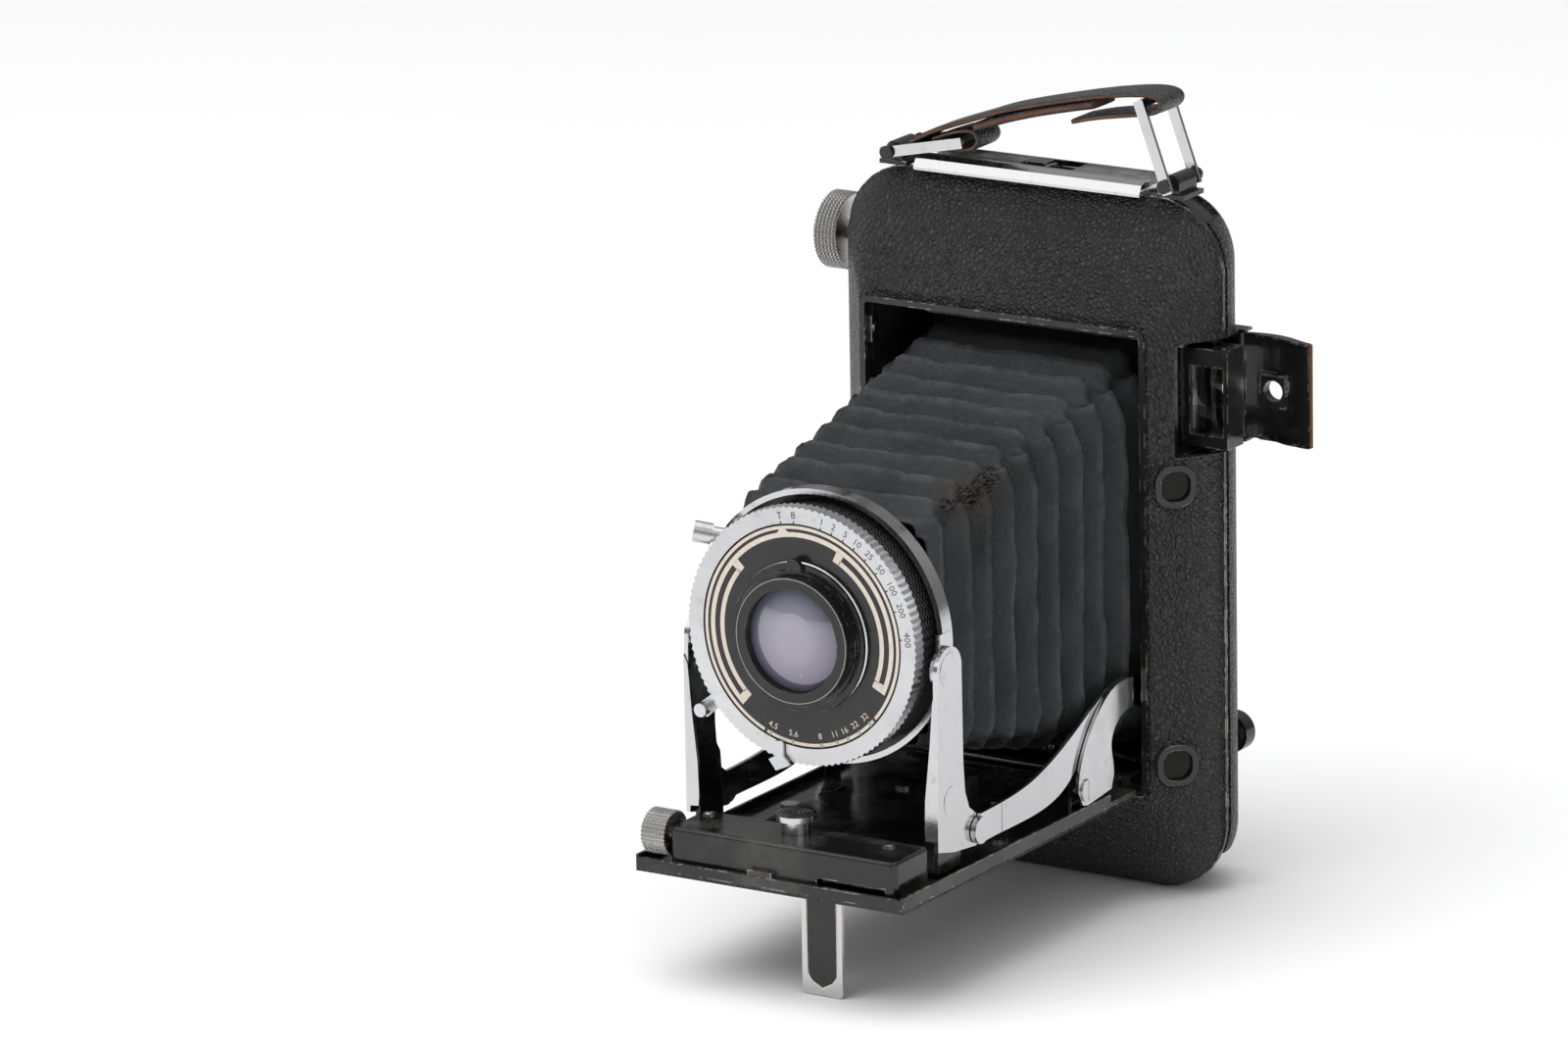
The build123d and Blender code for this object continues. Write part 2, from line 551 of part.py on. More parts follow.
# ================= bed =================
with BuildPart() as bed_plate:
    block(-BED_HALF_W, BED_HALF_W, BED_END_Y, HINGE_Y - 3.2, BED_Z, BED_TOP)
    block(-28, 28, HINGE_Y - 3.3, HINGE_Y - 0.6, BED_Z + 0.3, BED_TOP + 0.3)
    for s in (-1, 1):
        block(s * 32.75, s * BED_HALF_W, BED_END_Y, HINGE_Y - 14, BED_TOP - 0.1, RIM_TOP)
        block(s * 32.0, s * 33.1, -104.0, -82.0, BED_TOP, RIM_TOP + 1, mode=Mode.SUBTRACT)
    block(-BED_HALF_W, BED_HALF_W, BED_END_Y, BED_END_Y + 0.9, BED_TOP - 0.1, RIM_TOP - 0.6)
    # hinge tubes
    for x0, x1 in ((-28.0, -13.0), (13.0, 28.0)):
        rod_x(HINGE_Y, HINGE_Z, 1.7, x0, x1)
        rod_x(HINGE_Y, HINGE_Z, 0.85, x0 - 1, x1 + 1, mode=Mode.SUBTRACT)
    block(-12.9, 12.9, HINGE_Y - 2.6, HINGE_Y + 3, BED_Z - 1, BED_TOP + 2, mode=Mode.SUBTRACT)
    # catch boss at the front lip
    block(-5.5, 0.5, BED_END_Y + 0.2, BED_END_Y + 1.4, BED_TOP - 0.1, 28.4)
    # guide rails of the focusing slide
    for s in (-1, 1):
        block(s * 22.0, s * 23.4, -96.0, -52.0, BED_TOP - 0.1, 27.3)
    # ears for the rear arms
    for s in (-1, 1):
        block(s * 30.8, s * 31.4, REAR_Y - 3.0, REAR_Y + 3.0, BED_TOP - 0.1, REAR_Z + 2.6)
        rod_x(REAR_Y, REAR_Z, 1.25, s * 30, s * 32, mode=Mode.SUBTRACT)
    # lugs of the foot's pin
    for x0, x1 in ((1.2, 2.4), (12.8, 14.0)):
        block(x0, x1, -110.6, -108.7, 23.3, BED_Z + 0.1)
        rod_x(-109.65, 23.9, 0.45, x0 - 1, x1 + 1, mode=Mode.SUBTRACT)
    # tripod bush
    rod_z(0.0, -40.0, 5.0, BED_Z, 30.4)
    rod_z(0.0, -40.0, 3.175, 20, 31, mode=Mode.SUBTRACT)
bed_plate.part.label = "bed_plate"
export_step(bed_plate.part, "parts/bed_plate.step")

with BuildPart() as bed_leather:
    block(-BED_HALF_W, BED_HALF_W, BED_END_Y, HINGE_Y - 3.4, 24.15, BED_Z)
    block(1.0, 14.2, -112.4, -84.6, 24, BED_Z + 0.1, mode=Mode.SUBTRACT)
    rod_z(0.0, -40.0, 3.9, 20, 31, mode=Mode.SUBTRACT)
bed_leather.part.label = "bed_leather"
export_step(bed_leather.part, "parts/bed_leather.step")

with BuildPart() as bed_box:
    with BuildSketch(Plane.XY.offset(BED_TOP)):
        with Locations((2.2, -110.0)):
            RectangleRounded(56.4, 14.4, 1.6)
    extrude(amount=8.6)
    fillet(bed_box.edges().group_by(Axis.Z)[-1], 0.9)
    block(-25.2, 29.6, -116.4, -103.6, BED_TOP - 1, 33.95, mode=Mode.SUBTRACT)
    block(11.0, 28.0, -118.5, -115.0, BED_TOP - 1, 28.6, mode=Mode.SUBTRACT)
    rod_z(0.0, -107.5, 3.15, 30, 40, mode=Mode.SUBTRACT)
    rod_x(KNOB_Y, KNOB_Z, 1.65, -27, -24, mode=Mode.SUBTRACT)
bed_box.part.label = "bed_box"
export_step(bed_box.part, "parts/bed_box.step")

with BuildPart() as bed_rivets:
    for x, y in ((-23.0, -105.6), (22.8, -107.0)):
        rod_z(x, y, 1.5, 34.6, 34.9)
        with Locations((x, y, 33.4)):
            Sphere(1.9)
        block(x - 3, x + 3, y - 3, y + 3, 30, 34.6, mode=Mode.SUBTRACT)
    for x, y in ((-12.0, -44.0), (12.0, -44.0), (-26.4, -68.0), (26.4, -68.0)):
        rod_z(x, y, 2.0, BED_TOP, BED_TOP + 0.6)
bed_rivets.part.label = "bed_rivets"
export_step(bed_rivets.part, "parts/bed_rivets.step")

with BuildPart() as release_button:
    rod_z(0.0, -107.5, 4.4, 37.6, 38.8)
    rod_z(0.0, -107.5, 3.0, 28.6, 37.7)
    # catch bar behind the slot of the box
    plate_z(
        [(-2.6, -107.5), (2.6, -107.5), (12.0, -113.0), (27.4, -113.0), (27.4, -115.9), (11.6, -115.9)],
        28.4,
        29.4,
    )
    block(11.6, 27.4, -115.9, -115.1, 27.4, 28.5)
    for r in (3.6, 2.7, 1.8, 0.9):
        rod_z(0.0, -107.5, r, 38.65, 38.9, mode=Mode.SUBTRACT)
        rod_z(0.0, -107.5, r - 0.35, 38.6, 38.8)
release_button.part.label = "release_button"
export_step(release_button.part, "parts/release_button.step")

with BuildPart() as focus_knob:
    plate_x([(KNOB_Y + a, KNOB_Z + b) for a, b in star(5.0, 34, 0.4)], -32.4, -26.6)
    rod_x(KNOB_Y, KNOB_Z, 1.6, -26.7, -22.0)
    rod_x(KNOB_Y, KNOB_Z, 1.9, -24.9, -22.2)
    rod_x(KNOB_Y, KNOB_Z, 3.2, -32.5, -32.0, mode=Mode.SUBTRACT)
focus_knob.part.label = "focus_knob"
export_step(focus_knob.part, "parts/focus_knob.step")

with BuildPart() as focus_carriage:
    # slide on the bed with a black bracket at each side for the lens standard
    block(-21.8, 21.8, -99.6, -58.0, BED_TOP + 0.15, 27.6)
    block(-30.4, 30.4, -99.6, -90.4, 27.5, 28.7)
    block(-21.8, 21.8, -99.6, -97.0, 27.2, 28.7)
    for s in (-1, 1):
        plate_x(
            [
                (-99.6, 28.0),
                (-99.6, 40.0),
                (FOLD_Y - 4.2, FOLD_Z + 1.5),
                (FOLD_Y - 2.6, FOLD_Z + 4.2),
                (FOLD_Y + 2.6, FOLD_Z + 4.2),
                (FOLD_Y + 4.4, FOLD_Z + 1.5),
                (-90.4, 36.0),
                (-90.4, 28.0),
            ],
            s * 29.2,
            s * 30.4,
        )
        rod_x(FOLD_Y, FOLD_Z, 1.5, s * 30.3, s * 31.6)
focus_carriage.part.label = "focus_carriage"
export_step(focus_carriage.part, "parts/focus_carriage.step")

with BuildPart() as bed_spring:
    # opening spring of the bed
    with BuildLine() as coil:
        Helix(pitch=1.0, height=17.0, radius=1.7, center=(-9.5, -14.2, 30.5), direction=(1, 0, 0))
    with BuildSketch(Plane(origin=coil.line @ 0, z_dir=coil.line % 0)):
        Circle(0.36)
    sweep(is_frenet=True)
bed_spring.part.label = "bed_spring"
export_step(bed_spring.part, "parts/bed_spring.step")

with BuildPart() as foot_plate:
    block(2.6, 12.6, -110.1, -109.2, 0.0, 22.9)
    rod_x(-109.65, 23.9, 1.0, 2.6, 12.6)
    block(2.6, 12.6, -110.1, -109.2, 22.8, 23.9)
    fillet(foot_plate.edges().filter_by(Axis.Y).group_by(Axis.Z)[0], 0.8)
    rod_x(-109.65, 23.9, 0.42, 1.3, 13.9)
foot_plate.part.label = "foot_plate"
export_step(foot_plate.part, "parts/foot_plate.step")

# ================= lens standard =================


def upright(s):
    x0, x1 = s * 30.6, s * 31.6
    plate_x(
        [
            (-101.0, TOP_Z),
            (-101.3, 50.0),
            (-101.4, 32.9),
            (-95.0, 31.4),
            (-86.0, 30.5),
            (-83.4, 32.2),
            (-82.6, 35.4),
            (-85.6, 37.5),
            (-88.6, 39.6),
            (-90.2, 43.5),
            (-90.8, 50.0),
            (-91.0, TOP_Z),
        ],
        x0,
        x1,
    )
    rod_x(TOP_Y, TOP_Z, 5.0, x0, x1)
    rod_x(ARM_Y, ARM_Z, 3.1, x0, x1)
    plate_y(
        [
            (s * 31.6, 68.0),
            (s * 30.6, 66.0),
            (s * 29.8, 56.0),
            (s * 28.5, 44.0),
            (s * 28.3, 37.0),
            (s * 28.5, 34.6),
            (s * 31.6, 34.3),
        ],
        -101.4,
        -100.5,
    )
    rod_x(FOLD_Y, FOLD_Z, 1.55, s * 30, s * 33, mode=Mode.SUBTRACT)
    rod_x(TOP_Y, TOP_Z, 1.55, s * 30, s * 33, mode=Mode.SUBTRACT)


def upright_rivets(s):
    for y, z, r in ((FOLD_Y, FOLD_Z, 3.0), (TOP_Y, TOP_Z, 3.4)):
        rod_x(y, z, r + 0.25, s * 31.6, s * 31.72)
        rod_x(y, z, 1.55, s * 31, s * 31.65, mode=Mode.SUBTRACT)
    rod_x(ARM_Y, ARM_Z, 1.5, s * 31.6, s * 33.0)
    rod_x(ARM_Y, ARM_Z, 2.9, s * 32.66, s * 33.0)


for node, s in (("upright_left", -1), ("upright_right", 1)):
    with BuildPart() as piece:
        upright(s)
    piece.part.label = node
    export_step(piece.part, "parts/" + node + ".step")

for node, s in (("pivot_rivets_left", -1), ("pivot_rivets_right", 1)):
    with BuildPart() as piece:
        upright_rivets(s)
    piece.part.label = node
    export_step(piece.part, "parts/" + node + ".step")

FRONT_ARM_UPPER = [
    (-85.5, 37.5),
    (-77.5, 37.7),
    (-63.3, 39.2),
    (-55.0, 41.6),
    (-46.3, 45.1),
    (-36.8, 49.4),
    (-30.0, 51.6),
    (-22.0, 52.0),
    (-15.0, 49.6),
    (-10.0, 44.4),
    (-7.4, 38.6),
]
FRONT_ARM_LOWER = [
    (-85.5, 31.0),
    (-76.8, 31.2),
    (-67.7, 31.2),
    (-57.6, 31.9),
    (-50.8, 33.8),
    (-45.6, 37.0),
    (-38.0, 42.2),
    (-30.0, 45.4),
    (-22.0, 45.6),
    (-16.5, 43.0),
    (-13.0, 38.6),
]
REAR_ARM_UPPER = [
    (-46.4, 31.6),
    (-45.6, 36.4),
    (-42.1, 42.8),
    (-36.9, 48.2),
    (-30.8, 51.6),
    (-24.0, 52.2),
    (-19.2, 51.6),
]
REAR_ARM_LOWER = [
    (-31.4, 31.6),
    (-31.6, 35.4),
    (-32.2, 39.4),
    (-29.8, 43.4),
    (-25.0, 45.3),
    (-22.5, 45.4),
    (-19.2, 45.2),
]

for node, s in (("front_arm_left", -1), ("front_arm_right", 1)):
    with BuildPart() as piece:
        blade_x(FRONT_ARM_UPPER, FRONT_ARM_LOWER, s * 31.8, s * 32.6)
        rod_x(ARM_Y, ARM_Z, 3.0, s * 31.8, s * 32.6)
        rod_x(-10.2, 38.6, 2.8, s * 31.8, s * 32.6)
        rod_x(ARM_Y, ARM_Z, 1.55, s * 31, s * 33, mode=Mode.SUBTRACT)
    piece.part.label = node
    export_step(piece.part, "parts/" + node + ".step")

for node, s in (("rear_arm_left", -1), ("rear_arm_right", 1)):
    with BuildPart() as piece:
        blade_x(REAR_ARM_UPPER, REAR_ARM_LOWER, s * 32.8, s * 33.6)
        plate_x(
            [(-46.4, 31.7), (-44.6, 28.6), (-42.6, 28.1), (-32.4, 29.2), (-31.4, 31.7)],
            s * 32.8,
            s * 33.6,
        )
        rod_x(REAR_Y, REAR_Z, 1.3, s * 31, s * 34, mode=Mode.SUBTRACT)
    piece.part.label = node
    export_step(piece.part, "parts/" + node + ".step")

with BuildPart() as arm_screws:
    for s in (-1, 1):
        rod_x(REAR_Y, REAR_Z, 1.25, s * 30.7, s * 33.7)
        rod_x(REAR_Y, REAR_Z, 2.5, s * 33.66, s * 34.1)
        block(s * 33.9, s * 34.2, REAR_Y - 0.35, REAR_Y + 0.35, REAR_Z - 3, REAR_Z + 3, mode=Mode.SUBTRACT)
arm_screws.part.label = "arm_screws"
export_step(arm_screws.part, "parts/arm_screws.step")

with BuildPart() as lens_arch:
    # polished band over the shutter, thin rim below it, and a drilled ear at each side
    rod_y(0, LENS_Z, ARCH_R, -96.3, -92.4)
    rod_y(0, LENS_Z, ARCH_R - 1.2, -98, -91, mode=Mode.SUBTRACT)
    block(-40, 40, -98, -93.6, 40, 79.5, mode=Mode.SUBTRACT)
    for s in (-1, 1):
        block(s * 29.25, s * 30.4, -97.6, -93.0, TOP_Z - 2.0, 79.6)
        rod_x(TOP_Y, TOP_Z, 4.2, s * 29.3, s * 30.4)
        rod_x(TOP_Y, TOP_Z, 1.5, s * 30.3, s * 31.6)
    rod_y(0, LENS_Z, 28.7, -100, -93.7, mode=Mode.SUBTRACT)
lens_arch.part.label = "lens_arch"
export_step(lens_arch.part, "parts/lens_arch.step")

with BuildPart() as lens_board:
    rod_y(0, LENS_Z, 29.2, -92.4, -91.2)
    rod_y(0, LENS_Z, 13.2, -95, -90, mode=Mode.SUBTRACT)
lens_board.part.label = "lens_board"
export_step(lens_board.part, "parts/lens_board.step")

with BuildPart() as shutter_case:
    rod_y(0, LENS_Z, 27.3, -100.4, -92.4)
    rod_y(0, LENS_Z, 24.2, -102.6, -100.3)
    rod_y(0, LENS_Z, 14.6, -104, -98.2, mode=Mode.SUBTRACT)
    rod_y(0, LENS_Z, 12.0, -104, -90, mode=Mode.SUBTRACT)
    rod_y(0, LENS_Z, 20.0, -98.4, -95.4, mode=Mode.SUBTRACT)
shutter_case.part.label = "shutter_case"
export_step(shutter_case.part, "parts/shutter_case.step")

with BuildPart() as shutter_blades:
    rod_y(0, LENS_Z, 19.6, -98.2, -95.6)
    rod_y(0, LENS_Z, 11.9, -97.6, -94, mode=Mode.SUBTRACT)
    rod_y(0, LENS_Z, 11.9, -99, -98.05, mode=Mode.SUBTRACT)
shutter_blades.part.label = "shutter_blades"
export_step(shutter_blades.part, "parts/shutter_blades.step")

with BuildPart() as speed_ring:
    plate_y([(a, LENS_Z + b) for a, b in star(RING_R, 110, 0.4)], RING_Y, RING_Y + 3.3)
    rod_y(0, LENS_Z, 24.5, -105, -100, mode=Mode.SUBTRACT)
speed_ring.part.label = "speed_ring"
export_step(speed_ring.part, "parts/speed_ring.step")

with BuildPart() as face_plate:
    rod_y(0, LENS_Z, 24.3, -103.9, -102.6)
    rod_y(0, LENS_Z, 16.6, -105, -102, mode=Mode.SUBTRACT)
face_plate.part.label = "face_plate"
export_step(face_plate.part, "parts/face_plate.step")

with BuildPart() as lens_mount:
    # stepped front cell
    rod_y(0, LENS_Z, 16.3, -105.4, -102.65)
    rod_y(0, LENS_Z, 14.5, -103, -98.3)
    rod_y(0, LENS_Z, 14.9, -106.4, -105.3)
    rod_y(0, LENS_Z, 13.9, -108.3, -106.3)
    rod_y(0, LENS_Z, 11.4, -110, -106.0, mode=Mode.SUBTRACT)
    rod_y(0, LENS_Z, 10.6, -107, -98, mode=Mode.SUBTRACT)
    rod_y(-0.4, LENS_Z + 15.4, 2.0, -106.35, -105.2)
lens_mount.part.label = "lens_mount"
export_step(lens_mount.part, "parts/lens_mount.step")

with BuildPart() as lens_glass:
    # front group, then rear group
    rod_y(0, LENS_Z, 11.35, -107.6, -106.05)
    with Locations((0, -72.5, LENS_Z)):
        Sphere(35.6, mode=Mode.INTERSECT)
    rod_y(0, LENS_Z, 9.0, -88.6, -87.2)
lens_glass.part.label = "lens_glass"
export_step(lens_glass.part, "parts/lens_glass.step")

with BuildPart() as rear_cell:
    rod_y(0, LENS_Z, 11.9, -95.4, -91.2)
    rod_y(0, LENS_Z, 12.9, -91.2, -90.0)
    rod_y(0, LENS_Z, 11.0, -90.1, -86.6)
    rod_y(0, LENS_Z, 9.05, -89.0, -86, mode=Mode.SUBTRACT)
    rod_y(0, LENS_Z, 8.4, -96, -86, mode=Mode.SUBTRACT)
rear_cell.part.label = "rear_cell"
export_step(rear_cell.part, "parts/rear_cell.step")

with BuildPart() as aperture_pointer:
    plate_y([(-5.0, 50.6), (-8.2, 48.9), (-6.4, 46.6), (-2.8, 48.2)], -105.0, -104.3)
    plate_y([(-5.6, 49.6), (-7.4, 48.9), (-6.6, 46.7), (-4.2, 47.8)], -105.0, -104.3)
    block(-6.6, -4.6, -105.0, -104.3, 47.6, 53.2)
aperture_pointer.part.label = "aperture_pointer"
export_step(aperture_pointer.part, "parts/aperture_pointer.step")

with BuildPart() as release_lever:
    # trigger with a slotted pin at the lower left of the shutter
    plate_y([(-22.6, 61.8), (-28.0, 57.6), (-28.6, 55.4), (-26.6, 54.4), (-22.0, 58.6)], -100.2, -99.4)
    block(-24.4, -20.4, -100.2, -99.4, 58.0, 62.0, mode=Mode.SUBTRACT)
    rod_y(-26.9, 56.4, 1.5, -102.6, -99.4)
release_lever.part.label = "release_lever"
export_step(release_lever.part, "parts/release_lever.step")

with BuildPart() as cable_socket:
    frame_plane = Plane(origin=(-20.4, -98.9, 94.6), z_dir=(-0.84, -0.50, 0.20))
    with BuildSketch(frame_plane):
        Circle(1.8)
    extrude(amount=6.6)
    with BuildSketch(frame_plane.offset(4.2)):
        Circle(2.35)
    extrude(amount=4.0)
    with BuildSketch(frame_plane.offset(5.0)):
        Circle(1.2)
    extrude(amount=4, mode=Mode.SUBTRACT)
    rod_y(0, LENS_Z, 27.3, -101, -92, mode=Mode.SUBTRACT)
    rod_y(0, LENS_Z, 28.7, -105, -100.4, mode=Mode.SUBTRACT)
cable_socket.part.label = "cable_socket"
export_step(cable_socket.part, "parts/cable_socket.step")

# ================= bellows =================
PLEATS = 16


def bellows_sections(inset):
    rows = []
    for i in range(2 * PLEATS + 1):
        t = i / (2 * PLEATS)
        y = -91.1 + t * (7.6 + 91.1)
        grow = 1.0 if i % 2 else -1.0
        half_w = 24.0 + 6.6 * t + 0.9 * grow - inset
        half_h = 25.0 + 21.0 * t + 1.1 * grow - inset
        rows.append((y, half_w, half_h))
    return rows


with BuildPart() as bellows:
    for inset, mode in ((0.0, Mode.ADD), (0.7, Mode.SUBTRACT)):
        rings = []
        for y, half_w, half_h in bellows_sections(inset):
            rings.append(section(y, half_w, 76.6 - half_h, 76.6 + half_h, 1.6).face())
        loft(rings, ruled=True, mode=mode)
bellows.part.label = "bellows"
export_step(bellows.part, "parts/bellows.step")
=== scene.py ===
"""Folding roll-film camera: the looks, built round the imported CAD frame. All places are in metres."""

import math
import random

import bmesh
import bpy
from mathutils import Matrix, Vector, noise


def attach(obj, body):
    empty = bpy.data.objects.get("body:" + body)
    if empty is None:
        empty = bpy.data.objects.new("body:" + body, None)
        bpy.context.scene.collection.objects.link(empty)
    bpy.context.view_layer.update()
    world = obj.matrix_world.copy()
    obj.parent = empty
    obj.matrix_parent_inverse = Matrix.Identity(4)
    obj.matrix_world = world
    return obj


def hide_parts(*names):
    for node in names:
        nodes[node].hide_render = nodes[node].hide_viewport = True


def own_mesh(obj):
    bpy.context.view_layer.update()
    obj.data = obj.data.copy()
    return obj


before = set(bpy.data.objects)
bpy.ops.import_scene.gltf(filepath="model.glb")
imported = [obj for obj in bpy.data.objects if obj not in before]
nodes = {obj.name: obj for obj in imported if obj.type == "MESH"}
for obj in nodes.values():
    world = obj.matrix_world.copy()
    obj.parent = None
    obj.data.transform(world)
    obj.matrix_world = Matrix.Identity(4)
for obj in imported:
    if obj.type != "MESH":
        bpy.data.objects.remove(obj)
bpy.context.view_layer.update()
MM = 0.001

# ---------------------------------------------------------------- places, in mm as in the CAD
LENS_Z = 76.8
RING_FRONT = -104.0
PLATE_FRONT = -103.9
FACE_TURN = -11.0
BELLOWS_FRONT = -91.1
BELLOWS_BACK = 7.4
BELLOWS_Z = 76.6
PLEATS = 12
TEAR_Y = -73.0
WIND_AXIS = (-1.0, 137.4)
FOCUS_AXIS = (-113.5, 32.0)

# wavy ribs on the shutter barrel: waves round it, their depth in radians, rib pitch
WAVES = 85.0
WAVE_DEPTH = 2.6
RIB_PITCH = 1.15

# bands of the face plate, as radii
OUTER_BAND = (23.45, 24.15)
MIDDLE_BAND = (21.7, 22.75)
INNER_BAND = (19.35, 20.4)
INNER_HOOK = (19.35, 21.75)

# the strap's middle across the camera
STRAP_Y = -3.2

CREAM = (0.78, 0.70, 0.60)


# ---------------------------------------------------------------- materials
class Look:
    """A procedural material built up node by node. Places are object coordinates, in metres."""

    def __init__(self, name):
        self.material = bpy.data.materials.new(name)
        self.material.use_nodes = True
        self.tree = self.material.node_tree
        self.tree.nodes.clear()
        output = self.tree.nodes.new("ShaderNodeOutputMaterial")
        self.shader = self.tree.nodes.new("ShaderNodeBsdfPrincipled")
        self.tree.links.new(self.shader.outputs[0], output.inputs["Surface"])
        self.place = self.tree.nodes.new("ShaderNodeTexCoord").outputs["Object"]
        self.height = None

    def node(self, kind, **settings):
        made = self.tree.nodes.new(kind)
        for key, value in settings.items():
            setattr(made, key, value)
        return made

    def put(self, socket, value):
        if isinstance(value, bpy.types.NodeSocket):
            self.tree.links.new(value, socket)
        elif isinstance(value, tuple) and len(value) == 3 and socket.type == "RGBA":
            socket.default_value = (*value, 1.0)
        else:
            socket.default_value = value

    def math(self, how, a, b=0.0, c=0.0, clamp=False):
        made = self.node("ShaderNodeMath", operation=how, use_clamp=clamp)
        for socket, value in zip(made.inputs, (a, b, c)):
            self.put(socket, value)
        return made.outputs[0]

    def stretched(self, factors, offset=(0, 0, 0)):
        made = self.node("ShaderNodeMapping")
        self.put(made.inputs["Vector"], self.place)
        made.inputs["Scale"].default_value = factors
        made.inputs["Location"].default_value = offset
        return made.outputs[0]

    def noise(self, scale, detail=3.0, rough=0.55, place=None, warp=0.0):
        made = self.node("ShaderNodeTexNoise")
        self.put(made.inputs["Vector"], place or self.place)
        made.inputs["Scale"].default_value = scale
        made.inputs["Detail"].default_value = detail
        made.inputs["Roughness"].default_value = rough
        made.inputs["Distortion"].default_value = warp
        return made.outputs[0]

    def cells(self, scale, place=None, feature="DISTANCE_TO_EDGE"):
        made = self.node("ShaderNodeTexVoronoi", feature=feature)
        self.put(made.inputs["Vector"], place or self.place)
        made.inputs["Scale"].default_value = scale
        return made.outputs["Distance"]

    def span(self, value, low, high, to_low=0.0, to_high=1.0):
        made = self.node("ShaderNodeMapRange", clamp=True)
        for key, v in (("Value", value), ("From Min", low), ("From Max", high)):
            self.put(made.inputs[key], v)
        made.inputs["To Min"].default_value = to_low
        made.inputs["To Max"].default_value = to_high
        return made.outputs[0]

    def mix(self, share, a, b):
        made = self.node("ShaderNodeMix", data_type="RGBA")
        self.put(made.inputs["Factor"], share)
        self.put(made.inputs[6], a)
        self.put(made.inputs[7], b)
        return made.outputs[2]

    def axis(self, which):
        made = self.node("ShaderNodeSeparateXYZ")
        self.put(made.inputs[0], self.place)
        return made.outputs[which]

    def away(self, a, b):
        """Length of the two distances together."""
        squares = self.math("ADD", self.math("MULTIPLY", a, a), self.math("MULTIPLY", b, b))
        return self.math("SQRT", squares)

    def band(self, which, centre, half, soft):
        """1 inside a band of places along an axis, falling to 0 over soft."""
        away = self.math("ABSOLUTE", self.math("SUBTRACT", self.axis(which), centre))
        return self.span(away, half, half + soft, 1.0, 0.0)

    def edges(self, radius, low=0.02, high=0.12):
        """1 where the surface turns a corner."""
        bevel = self.node("ShaderNodeBevel", samples=4)
        bevel.inputs["Radius"].default_value = radius
        here = self.node("ShaderNodeNewGeometry").outputs["Normal"]
        dot = self.node("ShaderNodeVectorMath", operation="DOT_PRODUCT")
        self.put(dot.inputs[0], bevel.outputs[0])
        self.put(dot.inputs[1], here)
        return self.span(self.math("SUBTRACT", 1.0, dot.outputs["Value"]), low, high)

    def bump(self, height, distance, strength=1.0):
        made = self.node("ShaderNodeBump")
        made.inputs["Distance"].default_value = distance
        made.inputs["Strength"].default_value = strength
        self.put(made.inputs["Height"], height)
        if self.height is not None:
            self.put(made.inputs["Normal"], self.height)
        self.height = made.outputs[0]
        self.put(self.shader.inputs["Normal"], self.height)

    def set(self, **values):
        for key, value in values.items():
            name = key.replace("_", " ")
            self.put(self.shader.inputs[name], value)
        return self


def leather(name, tone=0.010, grain=880.0, depth=0.00055, worn=0.5, brown=False):
    look = Look(name)
    warp = look.node("ShaderNodeVectorMath", operation="ADD")
    soft = look.node("ShaderNodeTexNoise")
    look.put(soft.inputs["Vector"], look.place)
    soft.inputs["Scale"].default_value = 420.0
    scaled = look.node("ShaderNodeVectorMath", operation="SCALE")
    look.put(scaled.inputs[0], soft.outputs["Color"])
    scaled.inputs["Scale"].default_value = 0.0011
    look.put(warp.inputs[0], look.place)
    look.put(warp.inputs[1], scaled.outputs[0])
    place = warp.outputs[0]
    pebbles = look.span(look.cells(grain, place), 0.0, 0.42)
    small = look.noise(grain * 2.6, 2.0)
    broad = look.noise(38.0, 4.0, 0.6)
    edge = look.math("MULTIPLY", look.edges(0.0009, 0.03, 0.22), worn)
    base = look.mix(look.span(broad, 0.35, 0.7), (tone * 2.0, tone * 2.0, tone * 2.15), (tone * 3.4,) * 3)
    # painted shade: the grooves between the pebbles darkened to a fifth of the tone
    base = look.mix(look.span(pebbles, 0.0, 0.8), (tone * 0.2, tone * 0.2, tone * 0.2), base)
    rubbed = (0.16, 0.07, 0.035) if brown else (0.12, 0.115, 0.11)
    patch = look.span(look.noise(160.0, 4.0, 0.7), 0.45, 0.62)
    base = look.mix(look.math("MULTIPLY", edge, patch), base, rubbed)
    look.set(Base_Color=base, Roughness=look.span(small, 0.3, 0.75, 0.3, 0.5))
    look.set(Specular_IOR_Level=0.6)
    look.bump(pebbles, depth)
    look.bump(small, depth * 0.35)
    look.bump(look.noise(70.0, 3.0), 0.0004, 0.6)
    return look.material


def enamel(name, tone=0.012, rough=0.2, worn=0.7, dust=0.3, metal=(0.62, 0.58, 0.52)):
    """Black paint on metal: scratches, settled dust, and bright metal where the edges have rubbed."""
    look = Look(name)
    patch = look.span(look.noise(240.0, 5.0, 0.72), 0.52, 0.6)
    bare = look.math("MULTIPLY", look.math("MULTIPLY", look.edges(0.0005), patch), worn)
    grey = look.math("MULTIPLY", look.span(look.noise(55.0, 5.0, 0.65), 0.48, 0.75), dust)
    paint = look.mix(look.math("MULTIPLY", grey, 0.22), (tone,) * 3, (0.30, 0.29, 0.27))
    scratch = look.noise(300.0, 4.0, 0.7, look.stretched((1.0, 0.06, 1.0)))
    look.set(Base_Color=look.mix(bare, paint, metal), Metallic=bare)
    gloss = look.span(scratch, 0.4, 0.8, rough * 0.7, rough * 1.5)
    look.set(Roughness=look.math("ADD", gloss, look.math("MULTIPLY", grey, 0.35)))
    look.bump(look.noise(900.0, 3.0), 0.00003)
    look.bump(look.noise(90.0, 3.0), 0.00015, 0.5)
    return look.material


